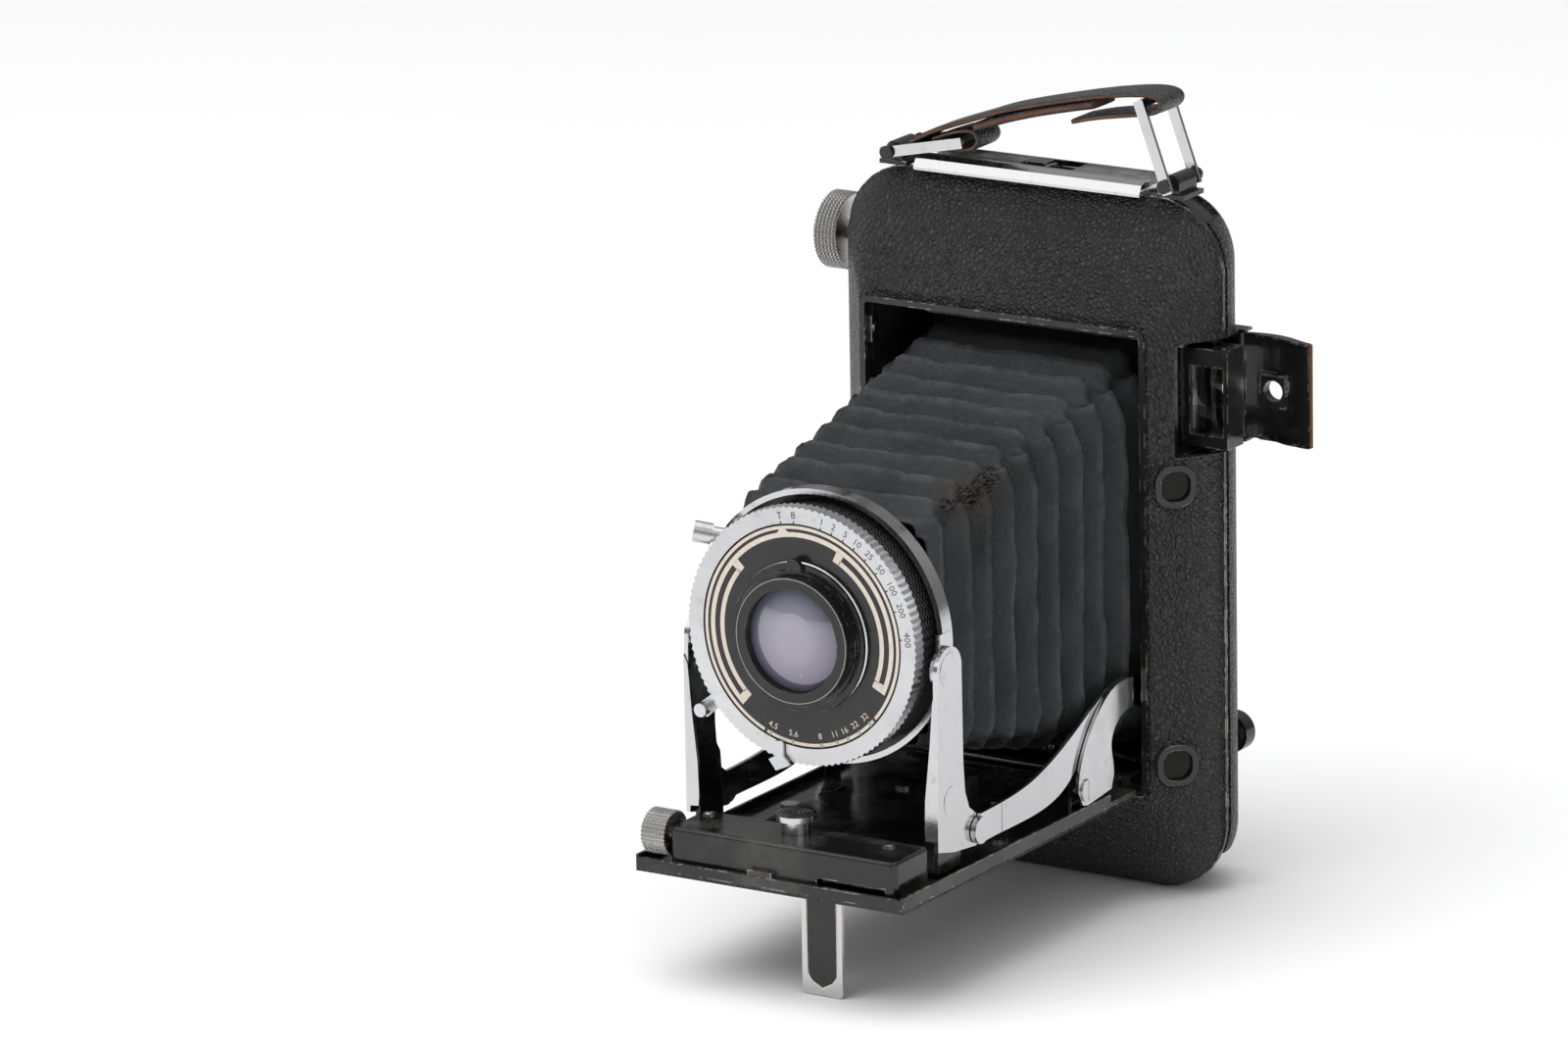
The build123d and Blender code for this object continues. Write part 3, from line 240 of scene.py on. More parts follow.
def chrome(name, tone=0.58, rough=0.10, smudge=0.14, grime=0.4, seam=None):
    look = Look(name)
    smear = look.noise(90.0, 4.0, 0.6, warp=0.6)
    fine = look.noise(1400.0, 3.0, 0.7, look.stretched((1.0, 0.08, 1.0)))
    crease = look.edges(0.0006, 0.02, 0.3)
    dirt = look.math("MULTIPLY", look.span(look.noise(320.0, 5.0, 0.7), 0.56, 0.68), grime)
    base = look.mix(look.math("MULTIPLY", dirt, 0.5), (tone, tone, tone * 1.01), (0.26, 0.24, 0.21))
    # painted highlight: edges and corners lightened towards white
    base = look.mix(look.math("MULTIPLY", crease, 0.25), base, (0.95, 0.95, 0.95))
    if seam is not None:
        line = look.band(1, seam, 0.00012, 0.00008)
        base = look.mix(look.math("MULTIPLY", line, 0.8), base, (0.04, 0.04, 0.04))
    look.set(Base_Color=base, Metallic=1.0)
    gloss = look.span(smear, 0.35, 0.75, rough, rough + smudge)
    look.set(Roughness=look.math("ADD", gloss, look.math("MULTIPLY", dirt, 0.2)))
    look.bump(fine, 0.000015)
    look.bump(look.noise(160.0, 2.0), 0.00005, 0.5)
    return look.material


def turned(name, tone=0.62, rough=0.26, rings=2600.0):
    """Satin metal with lathe lines round the lens axis."""
    look = Look(name)
    dx = look.axis(0)
    dz = look.math("SUBTRACT", look.axis(2), LENS_Z * MM)
    lines = look.math("SINE", look.math("MULTIPLY", look.away(dx, dz), rings * 2.0 * math.pi))
    smear = look.noise(120.0, 4.0)
    dirt = look.span(look.noise(420.0, 5.0, 0.75), 0.56, 0.7)
    # painted reflection: the satin metal lighter and darker in lobes by the angle round the lens axis
    shade = look.math("ARCTAN2", dx, dz)
    painted_sheen_lobes = look.span(look.math("SINE", look.math("MULTIPLY", shade, 2.0)), -1.0, 1.0, 0.0, 0.25)
    base = look.mix(painted_sheen_lobes, (tone, tone, tone * 1.02), (0.85, 0.86, 0.88))
    base = look.mix(look.math("MULTIPLY", dirt, 0.3), base, (0.25, 0.24, 0.22))
    look.set(Base_Color=base, Metallic=1.0, Roughness=look.span(smear, 0.3, 0.7, rough, rough + 0.12))
    look.bump(lines, 0.000006)
    look.bump(look.noise(1500.0, 2.0), 0.00001)
    return look.material


def knurled(name, axis, radius, diamonds, pitch):
    """Bright metal cut with crossed grooves round an axis along X; radius and pitch in mm."""
    look = Look(name)
    dy = look.math("SUBTRACT", look.axis(1), axis[0] * MM)
    dz = look.math("SUBTRACT", look.axis(2), axis[1] * MM)
    turn = look.math("MULTIPLY", look.math("ARCTAN2", dy, dz), float(diamonds))
    shift = look.math("MULTIPLY", look.axis(0), 2.0 * math.pi / (pitch * MM))
    grooves = []
    for way in ("ADD", "SUBTRACT"):
        half_turn = look.math("MULTIPLY", look.math(way, turn, shift), 0.5)
        grooves.append(look.math("ABSOLUTE", look.math("SINE", half_turn)))
    cut = look.math("MULTIPLY", *grooves)
    rim = look.span(look.away(dy, dz), radius * MM * 0.93, radius * MM * 0.95)
    # painted shade: the grooves on the knurled rim darkened
    dark = look.math("MULTIPLY", look.span(cut, 0.0, 0.25, 1.0, 0.0), rim)
    base = look.mix(look.math("MULTIPLY", dark, 0.6), (0.70, 0.69, 0.67), (0.14, 0.13, 0.12))
    dirt = look.span(look.noise(350.0, 5.0, 0.7), 0.55, 0.72)
    base = look.mix(look.math("MULTIPLY", dirt, 0.3), base, (0.2, 0.18, 0.15))
    look.set(Base_Color=base, Metallic=1.0, Roughness=look.span(look.noise(700.0), 0.3, 0.7, 0.22, 0.36))
    look.bump(look.math("MULTIPLY", cut, rim), 0.00035)
    return look.material


def guilloche(name):
    """Black barrel rolled with rows of wavy ribs."""
    look = Look(name)
    dz = look.math("SUBTRACT", look.axis(2), LENS_Z * MM)
    turn = look.math("ARCTAN2", look.axis(0), dz)
    wave = look.math("MULTIPLY", look.math("SINE", look.math("MULTIPLY", turn, WAVES)), WAVE_DEPTH)
    along = look.math("MULTIPLY", look.axis(1), 2.0 * math.pi / (RIB_PITCH * MM))
    ribs = look.span(look.math("SINE", look.math("ADD", along, wave)), -0.5, 0.9)
    # painted highlight and shade: the rib crests lighter, the grooves near black
    base = look.mix(ribs, (0.004, 0.004, 0.004), (0.045, 0.045, 0.047))
    look.set(Base_Color=base, Roughness=look.span(look.noise(800.0), 0.3, 0.7, 0.26, 0.4))
    look.set(Specular_IOR_Level=0.7)
    look.bump(ribs, 0.0003)
    return look.material


def pleated_cloth(name):
    look = Look(name)
    weave = look.math("MULTIPLY", look.noise(2600.0, 2.0), look.noise(900.0, 3.0, 0.6))
    broad = look.noise(45.0, 5.0, 0.65)
    ridge = look.node("ShaderNodeVertexColor", layer_name="fold").outputs["Color"]
    split = look.node("ShaderNodeSeparateColor")
    look.put(split.inputs[0], ridge)
    rub = look.math("MULTIPLY", split.outputs[0], look.span(look.noise(210.0, 5.0, 0.7), 0.38, 0.68))
    fray = split.outputs[1]
    base = look.mix(look.span(broad, 0.3, 0.72), (0.011, 0.012, 0.0135), (0.026, 0.028, 0.032))
    base = look.mix(look.math("MULTIPLY", rub, 0.5), base, (0.095, 0.093, 0.092))
    # painted shade: the pleat valleys darkened to near black, from the blue channel of the fold colours
    base = look.mix(look.math("MULTIPLY", split.outputs[2], 0.95), base, (0.002, 0.002, 0.002))
    base = look.mix(look.math("MULTIPLY", fray, 0.8), base, (0.03, 0.026, 0.018))
    lint = look.span(look.cells(300.0, feature="F1"), 0.03, 0.07, 1.0, 0.0)
    base = look.mix(look.math("MULTIPLY", lint, 0.25), base, (0.28, 0.27, 0.25))
    look.set(Base_Color=base, Roughness=look.span(weave, 0.15, 0.45, 0.5, 0.72))
    look.set(Specular_IOR_Level=0.4, Sheen_Weight=0.05, Sheen_Roughness=0.4)
    look.bump(weave, 0.00022)
    look.bump(look.noise(330.0, 4.0, 0.6, warp=0.8), 0.00035, 0.7)
    return look.material


def glass(name, tint, clear=1.0, rough=0.01, shine=0.5):
    look = Look(name)
    haze = look.noise(110.0, 4.0)
    lighter = tuple(min(1.0, c * 1.12 + 0.004) for c in tint)
    base = look.mix(look.span(haze, 0.3, 0.8), tint, lighter)
    look.set(Base_Color=base, Roughness=look.span(haze, 0.3, 0.8, rough, rough + 0.02))
    look.set(IOR=1.52, Transmission_Weight=clear, Specular_IOR_Level=shine)
    look.bump(look.noise(60.0, 1.0), 0.00001)
    return look.material


def coated_glass(name):
    """Front lens: milky lavender reflection over a dark barrel, bluer and darker to the rim."""
    look = Look(name)
    dz = look.math("SUBTRACT", look.axis(2), LENS_Z * MM)
    dx = look.axis(0)
    out = look.span(look.away(dx, dz), 0.0035, 0.0112)
    lean = look.span(look.math("SUBTRACT", dz, look.math("MULTIPLY", dx, 0.7)), -0.011, 0.010)
    base = look.mix(lean, (0.30, 0.27, 0.31), (0.33, 0.34, 0.36))
    base = look.mix(look.math("MULTIPLY", out, 0.85), base, (0.075, 0.08, 0.11))
    spots = look.span(look.cells(170.0, feature="F1"), 0.02, 0.09, 1.0, 0.0)
    base = look.mix(look.math("MULTIPLY", spots, 0.25), base, (0.7, 0.66, 0.78))
    look.set(Base_Color=base, Roughness=look.span(look.noise(90.0), 0.3, 0.8, 0.03, 0.08))
    look.set(Metallic=0.0, Specular_IOR_Level=0.9, Coat_Weight=1.0, Coat_Roughness=0.02)
    look.shader.inputs["Coat Tint"].default_value = (0.93, 0.9, 1.0, 1.0)
    look.bump(look.noise(50.0, 1.0), 0.00001)
    return look.material


def ink(name, colour, rough=0.45):
    look = Look(name)
    wear = look.span(look.noise(900.0, 4.0, 0.7), 0.35, 0.8)
    darker = tuple(c * 0.72 for c in colour)
    look.set(Base_Color=look.mix(look.math("MULTIPLY", wear, 0.5), colour, darker))
    look.set(Roughness=look.span(wear, 0.0, 1.0, rough, rough + 0.12))
    look.bump(look.noise(1500.0), 0.00001)
    return look.material


def raw_edge(name, colour=(0.20, 0.085, 0.035)):
    look = Look(name)
    layers = look.noise(900.0, 4.0, 0.7, look.stretched((0.15, 1.0, 1.0)))
    base = look.mix(look.span(layers, 0.3, 0.7), colour, tuple(c * 0.35 for c in colour))
    look.set(Base_Color=base, Roughness=0.75)
    look.bump(layers, 0.0002)
    return look.material


def ground(name):
    look = Look(name)
    base = look.mix(look.span(look.noise(2.0), 0.3, 0.7), (0.90, 0.90, 0.91), (0.93, 0.93, 0.93))
    look.set(Base_Color=base, Roughness=0.75)
    return look.material


SHELL = enamel("black_shell", 0.012, 0.3, 0.9, 0.25)
LEATHER = leather("grained_leather")
ENAMEL = enamel("black_enamel", 0.010, 0.18, 0.8, 0.25)
CASTING = enamel("black_casting", 0.014, 0.42, 0.3, 0.5)
BED = enamel("bed_enamel", 0.008, 0.13, 0.75, 0.85)
FINDER = enamel("finder_black", 0.009, 0.2, 1.0, 0.35, (0.75, 0.72, 0.66))
WINDOW = enamel("window_black", 0.010, 0.2, 0.35, 0.2)
LUG = enamel("black_lug", 0.011, 0.22, 0.9, 0.2)
SPOOL = enamel("spool_black", 0.012, 0.3, 0.8, 0.2)
LENS_BLACK = enamel("lens_black", 0.009, 0.22, 0.25, 0.1)
FACE = enamel("face_enamel", 0.013, 0.24, 0.0, 0.12)
CHROME = chrome("bright_chrome")
CHROME_SEAM = chrome("arm_chrome", seam=-0.0769)
TRIM = chrome("trim_chrome", 0.6, 0.07, 0.12, 0.5)
STEEL = chrome("steel", 0.5, 0.22, 0.12, 0.6)
NICKEL = chrome("nickel", 0.6, 0.2, 0.14, 0.7)
BEAD = enamel("bead_metal", 0.014, 0.3, 1.6, 0.2, (0.66, 0.63, 0.58))
SATIN = turned("satin_chrome")
KNOB = knurled("wind_knurl", WIND_AXIS, 8.7, 60, 0.91)
KNOB_SMALL = knurled("focus_knurl", FOCUS_AXIS, 5.0, 34, 0.92)
BARREL = guilloche("wavy_barrel")
CLOTH = pleated_cloth("pleated_cloth")
LENS = coated_glass("coated_glass")
DARK_GLASS = glass("dark_glass", (0.006, 0.007, 0.005), 0.0, 0.05, 0.16)
CLEAR_GLASS = glass("clear_glass", (0.93, 0.94, 0.94))
RED_GLASS = glass("red_glass", (0.42, 0.012, 0.008), 0.55)
CREAM_INK = ink("cream_enamel", CREAM)
# dark print on the dials, also used for the painted shade in the knob holes
DARK_INK_AND_SHADE = ink("dark_ink_and_shade", (0.05, 0.05, 0.055))
TAN_EDGE = raw_edge("tan_edge")
STRAP = leather("strap_leather", 0.02, 950.0, 0.0002, 0.9, True)

BY_NODE = {
    "body_shell": SHELL, "back_cover": SHELL, "body_leather": LEATHER, "back_leather": LEATHER,
    "bed_leather": LEATHER, "opening_bezel": ENAMEL, "window_cover": ENAMEL, "lens_board": ENAMEL,
    "film_chamber": CASTING, "pressure_plate": CASTING, "film_rollers": STEEL, "hinge_pins": STEEL,
    "spool_pins": STEEL, "bed_spring": STEEL, "bed_rivets": STEEL, "shutter_blades": STEEL,
    "trim_bead": BEAD, "latch_trough": TRIM, "latch_slider": TRIM, "strap_lugs": LUG,
    "finder_housing": FINDER, "finder_block": FINDER, "finder_flap": FINDER, "rf_bezels": WINDOW,
    "rf_eyepiece": WINDOW, "rf_glasses": DARK_GLASS, "wind_knob": KNOB, "focus_knob": KNOB_SMALL,
    "take_up_spool": SPOOL, "feed_spool": SPOOL, "red_windows": RED_GLASS, "finder_lens": CLEAR_GLASS,
    "bail_left": CHROME, "bail_right": CHROME, "bed_plate": BED, "bed_box": BED, "focus_carriage": BED,
    "arm_screws": CHROME, "release_button": CHROME, "foot_plate": CHROME, "upright_left": CHROME,
    "upright_right": CHROME, "pivot_rivets_left": CHROME, "pivot_rivets_right": CHROME,
    "front_arm_left": CHROME_SEAM, "front_arm_right": CHROME_SEAM, "rear_arm_left": CHROME,
    "rear_arm_right": CHROME, "lens_arch": CHROME, "shutter_case": BARREL, "speed_ring": SATIN,
    "face_plate": FACE, "lens_mount": LENS_BLACK, "lens_glass": LENS, "rear_cell": LENS_BLACK,
    "aperture_pointer": SATIN, "release_lever": SATIN, "cable_socket": NICKEL, "bellows": CLOTH,
    "handle_strap": STRAP,
}
for name, obj in nodes.items():
    obj.data.materials.clear()
    obj.data.materials.append(BY_NODE[name])
    for polygon in obj.data.polygons:
        polygon.material_index = 0


# ---------------------------------------------------------------- mesh helpers
def piece(name, verts, faces, material, body, slot=None, smooth=False):
    """A mesh from points in mm, riding on a body."""
    mesh = bpy.data.meshes.new(name)
    mesh.from_pydata([[c * MM for c in v] for v in verts], [], faces)
    work = bmesh.new()
    work.from_mesh(mesh)
    bmesh.ops.recalc_face_normals(work, faces=work.faces)
    work.to_mesh(mesh)
    work.free()
    for polygon in mesh.polygons:
        polygon.use_smooth = smooth
    mesh.materials.append(material)
    obj = bpy.data.objects.new(name, mesh)
    bpy.context.scene.collection.objects.link(obj)
    if body:
        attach(obj, body)
    return obj


def prism(outline, put, low, high):
    """Closed solid over a flat outline; put(a, b, level) gives the point in mm."""
    count = len(outline)
    verts = [put(a, b, low) for a, b in outline] + [put(a, b, high) for a, b in outline]
    faces = [list(range(count)), list(range(2 * count - 1, count - 1, -1))]
    for i in range(count):
        j = (i + 1) % count
        faces.append([i, j, count + j, count + i])
    return verts, faces


def joined(parts):
    verts, faces = [], []
    for part_verts, part_faces in parts:
        start = len(verts)
        verts += part_verts
        faces += [[start + i for i in f] for f in part_faces]
    return verts, faces


def polar(radius, degrees, y):
    """A point on the lens face: degrees run clockwise from the index mark, seen from the front."""
    a = math.radians(degrees + FACE_TURN)
    return (radius * math.sin(a), y, LENS_Z + radius * math.cos(a))


def sector(r0, r1, a0, a1, front, back):
    """A band of a ring as one closed strip."""
    steps = max(2, int(abs(a1 - a0) / 3.0))
    verts, faces = [], []
    for i in range(steps + 1):
        a = a0 + (a1 - a0) * i / steps
        verts += [polar(r0, a, front), polar(r1, a, front), polar(r1, a, back), polar(r0, a, back)]
    for i in range(steps):
        for k in range(4):
            n = (k + 1) % 4
            faces.append([4 * i + k, 4 * i + n, 4 * i + 4 + n, 4 * i + 4 + k])
    faces += [[3, 2, 1, 0], [4 * steps, 4 * steps + 1, 4 * steps + 2, 4 * steps + 3]]
    return verts, faces


def tube(points, radius, sides=10, closed=False):
    """A round wire through points in mm."""
    points = [Vector(p) for p in points]
    verts, faces = [], []
    count = len(points)
    for i, p in enumerate(points):
        ahead = points[min(i + 1, count - 1)] if not closed else points[(i + 1) % count]
        behind = points[max(i - 1, 0)] if not closed else points[i - 1]
        way = (ahead - behind).normalized()
        side = way.cross(Vector((0.3, 0.2, 1.0))).normalized()
        other = way.cross(side)
        for k in range(sides):
            a = 2 * math.pi * k / sides
            verts.append(tuple(p + side * radius * math.cos(a) + other * radius * math.sin(a)))
    for i in range(count if closed else count - 1):
        for k in range(sides):
            n = (k + 1) % sides
            j = (i + 1) % count
            faces.append([i * sides + k, i * sides + n, j * sides + n, j * sides + k])
    if not closed:
        faces += [list(range(sides - 1, -1, -1)), [(count - 1) * sides + k for k in range(sides)]]
    return verts, faces


def figures(words, radius, degrees, y, size, inward=False):
    """Figures on the dial, as flat solids. Returns points and faces in mm."""
    curve = bpy.data.curves.new("figures", "FONT")
    curve.body = words
    curve.size = size * MM
    curve.align_x = "CENTER"
    curve.align_y = "CENTER"
    curve.extrude = 0.02 * MM
    curve.resolution_u = 3
    curve.space_character = 1.05
    holder = bpy.data.objects.new("figures", curve)
    bpy.context.scene.collection.objects.link(holder)
    bpy.context.view_layer.update()
    made = bpy.data.meshes.new_from_object(holder.evaluated_get(bpy.context.evaluated_depsgraph_get()))
    a = math.radians(degrees + FACE_TURN)
    outward = Vector((math.sin(a), 0, math.cos(a)))
    across = Vector((math.cos(a), 0, -math.sin(a)))
    if inward:
        outward, across = -outward, -across
    centre = Vector(polar(radius, degrees, y))
    verts = []
    for v in made.vertices:
        x, z, d = v.co.x / MM, v.co.y / MM, v.co.z / MM
        verts.append(tuple(centre + across * x + outward * z + Vector((0, -d, 0))))
    faces = [list(p.vertices) for p in made.polygons]
    bpy.data.objects.remove(holder)
    bpy.data.curves.remove(curve)
    bpy.data.meshes.remove(made)
    return verts, faces


# ---------------------------------------------------------------- dial and face plate
SPEEDS = [("T", 0.0), ("B", 7.5), ("1", 23.0), ("2", 29.5), ("5", 36.5), ("10", 43.5), ("25", 51.5)]
SPEEDS += [("50", 60.0), ("100", 70.0), ("200", 81.0), ("400", 95.0)]
STOPS = [("4,5", -149.0), ("5,6", -162.5), ("8", -180.0), ("11", -190.0), ("16", -197.0), ("22", -205.0)]
STOPS += [("32", -213.5)]

parts = []
for words, degrees in SPEEDS:
    parts.append(figures(words, 26.35, degrees, RING_FRONT - 0.01, 2.1))
    parts.append(sector(24.6, 25.15, degrees - 0.35, degrees + 0.35, RING_FRONT - 0.03, RING_FRONT + 0.05))
piece("speed_figures", *joined(parts), DARK_INK_AND_SHADE, "speeds", "satin_chrome")

f0, f1 = PLATE_FRONT - 0.04, PLATE_FRONT + 0.05
parts = [sector(*MIDDLE_BAND, -127.5, 127.5, f0, f1)]
parts.append(sector(*OUTER_BAND, -145.0, 142.0, f0, f1))
stops = sorted(d for _, d in STOPS)
for a, b in zip([-217.0] + stops, stops + [-146.0]):
    if b - a > 1.6:
        parts.append(sector(*OUTER_BAND, a + 0.7, b - 0.7, f0, f1))
for s in (-1, 1):
    parts.append(sector(*INNER_BAND, s * 40.0, s * 123.0, f0, f1))
    parts.append(sector(*INNER_HOOK, s * 35.5, s * 40.5, f0, f1))
    parts.append(sector(*INNER_HOOK, s * 122.5, s * 127.5, f0, f1))
for words, degrees in STOPS:
    parts.append(figures(words, 21.9, degrees, PLATE_FRONT - 0.01, 1.85, True))
    parts.append(sector(23.3, 24.3, degrees - 0.3, degrees + 0.3, f0 - 0.01, f1))
tip = [polar(24.1, 0, 0), polar(22.4, -4.6, 0), polar(22.4, 4.6, 0)]
parts.append(prism([(p[0], p[2]) for p in tip], lambda a, b, y: (a, y, b), f0 - 0.01, f1))
piece("face_bands", *joined(parts), CREAM_INK, "standard", "face_enamel")


def ring(name, section, material, body, slot=None, steps=96):
    """A turned ring round the lens axis; section is its outline as (radius, y) points."""
    verts, faces = [], []
    count = len(section)
    for i in range(steps):
        a = 2 * math.pi * i / steps
        verts += [(r * math.sin(a), y, LENS_Z + r * math.cos(a)) for r, y in section]
    for i in range(steps):
        j = (i + 1) % steps
        for k in range(count):
            n = (k + 1) % count
            faces.append([i * count + k, i * count + n, j * count + n, j * count + k])
    return piece(name, verts, faces, material, body, slot)


def square(r0, r1, y0, y1):
    return [(r0, y0), (r1, y0), (r1, y1), (r0, y1)]


thread = [(16.35, -104.0), (16.5, -104.15), (16.35, -104.3), (16.5, -104.45), (16.35, -104.6)]
thread.append((16.2, -104.3))
ring("focus_thread", thread, NICKEL, "standard", "nickel")
ring("bezel_line_outer", square(13.55, 13.65, -108.33, -108.25), STEEL, "standard", "lens_black")
inner_line = square(24.5, 24.62, RING_FRONT - 0.02, RING_FRONT + 0.1)
ring("ring_inner_line", inner_line, DARK_INK_AND_SHADE, "speeds", "satin_chrome")

# two-hole knob on the front cell; its holes are dark discs, painted shade
parts = []
for x in (-1.3, 0.5):
    parts.append(tube([(x, -106.3, LENS_Z + 15.4), (x, -106.41, LENS_Z + 15.4)], 0.4))
piece("cell_knob_holes", *joined(parts), DARK_INK_AND_SHADE, "standard", "lens_black")


# ---------------------------------------------------------------- bellows
def triangle(t):
    t = t % 1.0
    return 1.0 - 4.0 * t if t < 0.5 else 4.0 * t - 3.0


def bellows():
    """Pleated tube; ridges on top meet valleys on the sides, so that the corners fold in mitres."""
    steps, per_side = PLEATS * 10, 28
    random.seed(7)
    wobble = [[random.uniform(-1, 1) for _ in range(4)] for _ in range(2 * PLEATS + 2)]
    verts, shade = [], []
    around = 4 * per_side
    for i in range(steps + 1):
        t = i / steps
        y = BELLOWS_FRONT + (BELLOWS_BACK - BELLOWS_FRONT) * t
        half_w = 23.6 + 6.9 * t
        half_h = 24.6 + 20.6 * t
        for k in range(around):
            side, s = divmod(k, per_side)
            u = 2.0 * s / per_side - 1.0
            phase = PLEATS * t + (0.0 if side % 2 == 0 else 0.5)
            near = max(0.0, (abs(u) - 0.80) / 0.20)
            amp = (2.2 + 1.0 * t) * (1.0 - 0.8 * near)
            fold = triangle(phase)
            fold = math.copysign(abs(fold) ** 0.95, fold)
            row = int(phase * 2) % (2 * PLEATS)
            ends = min(1.0, 8 * t, 10 * (1 - t))
            push = amp * fold * ends
            push += 0.5 * ends * wobble[row][side] * (1 - u * u)
            if side in (0, 2):
                for crease in (-0.42, 0.34):
                    push -= 0.5 * math.exp(-((u - crease - 0.03 * wobble[row][side]) / 0.03) ** 2)
            x, z = (u * half_w, half_h) if side == 0 else (half_w, -u * half_h)
            if side == 2:
                x, z = -u * half_w, -half_h
            if side == 3:
                x, z = -half_w, u * half_h
            corner = 0.45 * near * near * (1.6 + 1.2 * math.sin(2 * math.pi * (PLEATS * t + 0.25)))
            nx, nz = ((0, 1), (1, 0), (0, -1), (-1, 0))[side]
            x = x + nx * push - math.copysign(corner * 2.2, x) * (1 if near > 0 else 0)
            z = z + nz * push - math.copysign(corner * 2.2, z) * (1 if near > 0 else 0)
            shift = noise.noise_vector(Vector((x * 0.11, y * 0.13, z * 0.11))) * 0.7 * ends
            crumple = noise.noise_vector(Vector((x * 0.45, y * 0.4, z * 0.45))) * 0.28 * ends
            spot = Vector((x, y, z)) + shift + crumple * (1 + near)
            verts.append((spot.x, spot.y, BELLOWS_Z + spot.z))
            from_tear = ((y - TEAR_Y) / 7.0) ** 2
            from_tear += ((spot.x - 24.0) / 6.0) ** 2 + ((spot.z - 28.0) / 6.0) ** 2
            ridge = max(0.0, fold) ** 3 * (1 - 0.3 * near) + 0.35 * near
            # fold colours: ridge wear, fray near the tear, and the valley depth that paints shade into the
            # pleat valleys
            shade.append((ridge, math.exp(-from_tear), max(0.0, -fold) ** 1.5 * ends))
    faces = []
    for i in range(steps):
        for k in range(around):
            n = (k + 1) % around
            faces.append([i * around + k, i * around + n, (i + 1) * around + n, (i + 1) * around + k])
    # frayed threads along the worn corner
    random.seed(11)
    for _ in range(420):
        y = TEAR_Y + random.gauss(0, 4.2)
        t = (y - BELLOWS_FRONT) / (BELLOWS_BACK - BELLOWS_FRONT)
        x = 23.6 + 6.9 * t - abs(random.gauss(0, 1.8))
        z = BELLOWS_Z + 24.6 + 20.6 * t - abs(random.gauss(0, 1.8))
        base = Vector((x, y, z))
        way = Vector((random.gauss(0.5, 0.6), random.gauss(0, 0.7), random.gauss(0.6, 0.6))).normalized()
        bend = Vector((random.gauss(0, 0.5), random.gauss(0, 0.5), random.gauss(-0.2, 0.5)))
        long = random.uniform(0.6, 2.3)
        points = [base, base + way * long * 0.5, base + way * long + bend]
        ring_verts, ring_faces = tube(points, random.uniform(0.05, 0.13), 4)
        start = len(verts)
        verts += ring_verts
        shade += [(0.15, 1.0, 0.0)] * len(ring_verts)
        faces += [[start + q for q in f] for f in ring_faces]
    obj = piece("bellows_cloth", verts, faces, CLOTH, "body", "bellows_cloth", smooth=True)
    layer = obj.data.color_attributes.new("fold", "FLOAT_COLOR", "POINT")
    for i, (ridge, fray, valley) in enumerate(shade):
        layer.data[i].color = (ridge, fray, valley, 1.0)
    thick = obj.modifiers.new("thick", "SOLIDIFY")
    thick.thickness = 0.35 * MM
    thick.offset = -1.0
    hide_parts("bellows")
    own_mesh(obj)


bellows()


# ---------------------------------------------------------------- carrying strap
def strap_band(name, path, half_width, thick, material, edge, body):
    """A flat leather band along a path of (x, z) points, with crowned faces and raw edges."""
    path = [Vector((x, 0, z)) for x, z in path]
    smooth = []
    for i in range(len(path) - 1):
        a, b = path[max(i - 1, 0)], path[i]
        c, d = path[i + 1], path[min(i + 2, len(path) - 1)]
        for k in range(8):
            t = k / 8
            square_part = (2 * a - 5 * b + 4 * c - d) * t * t
            cubic_part = (3 * b - a - 3 * c + d) * t ** 3
            smooth.append(0.5 * ((2 * b) + (c - a) * t + square_part + cubic_part))
    smooth.append(path[-1])
    across = [-1.0, -0.97, -0.88, -0.5, 0.0, 0.5, 0.88, 0.97, 1.0]
    crown = [0.35, 0.75, 0.95, 1.0, 1.0, 1.0, 0.95, 0.75, 0.35]
    verts, faces = [], []
    count = 2 * len(across)
    for i, p in enumerate(smooth):
        way = (smooth[min(i + 1, len(smooth) - 1)] - smooth[max(i - 1, 0)]).normalized()
        up = Vector((-way.z, 0, way.x))
        for u, c in zip(across, crown):
            jig = noise.noise(Vector((p.x * 0.2, u * 2, 3))) * 0.12
            verts.append(tuple(p + up * (thick / 2 * c) + Vector((0, STRAP_Y + u * (half_width + jig), 0))))
        for u, c in zip(reversed(across), reversed(crown)):
            jig = noise.noise(Vector((p.x * 0.2, u * 2, 3))) * 0.12
            verts.append(tuple(p - up * (thick / 2 * c) + Vector((0, STRAP_Y + u * (half_width + jig), 0))))
    for i in range(len(smooth) - 1):
        for k in range(count):
            n = (k + 1) % count
            faces.append([i * count + k, i * count + n, (i + 1) * count + n, (i + 1) * count + k])
    faces += [list(range(count - 1, -1, -1)), [(len(smooth) - 1) * count + k for k in range(count)]]
    obj = piece(name, verts, faces, material, body, "strap_leather", smooth=True)
    obj.data.materials.append(edge)
    for polygon in obj.data.polygons:
        if polygon.index % count in (8, 17) or len(polygon.vertices) > 4:
            polygon.material_index = 1
            polygon.use_smooth = False
    return obj


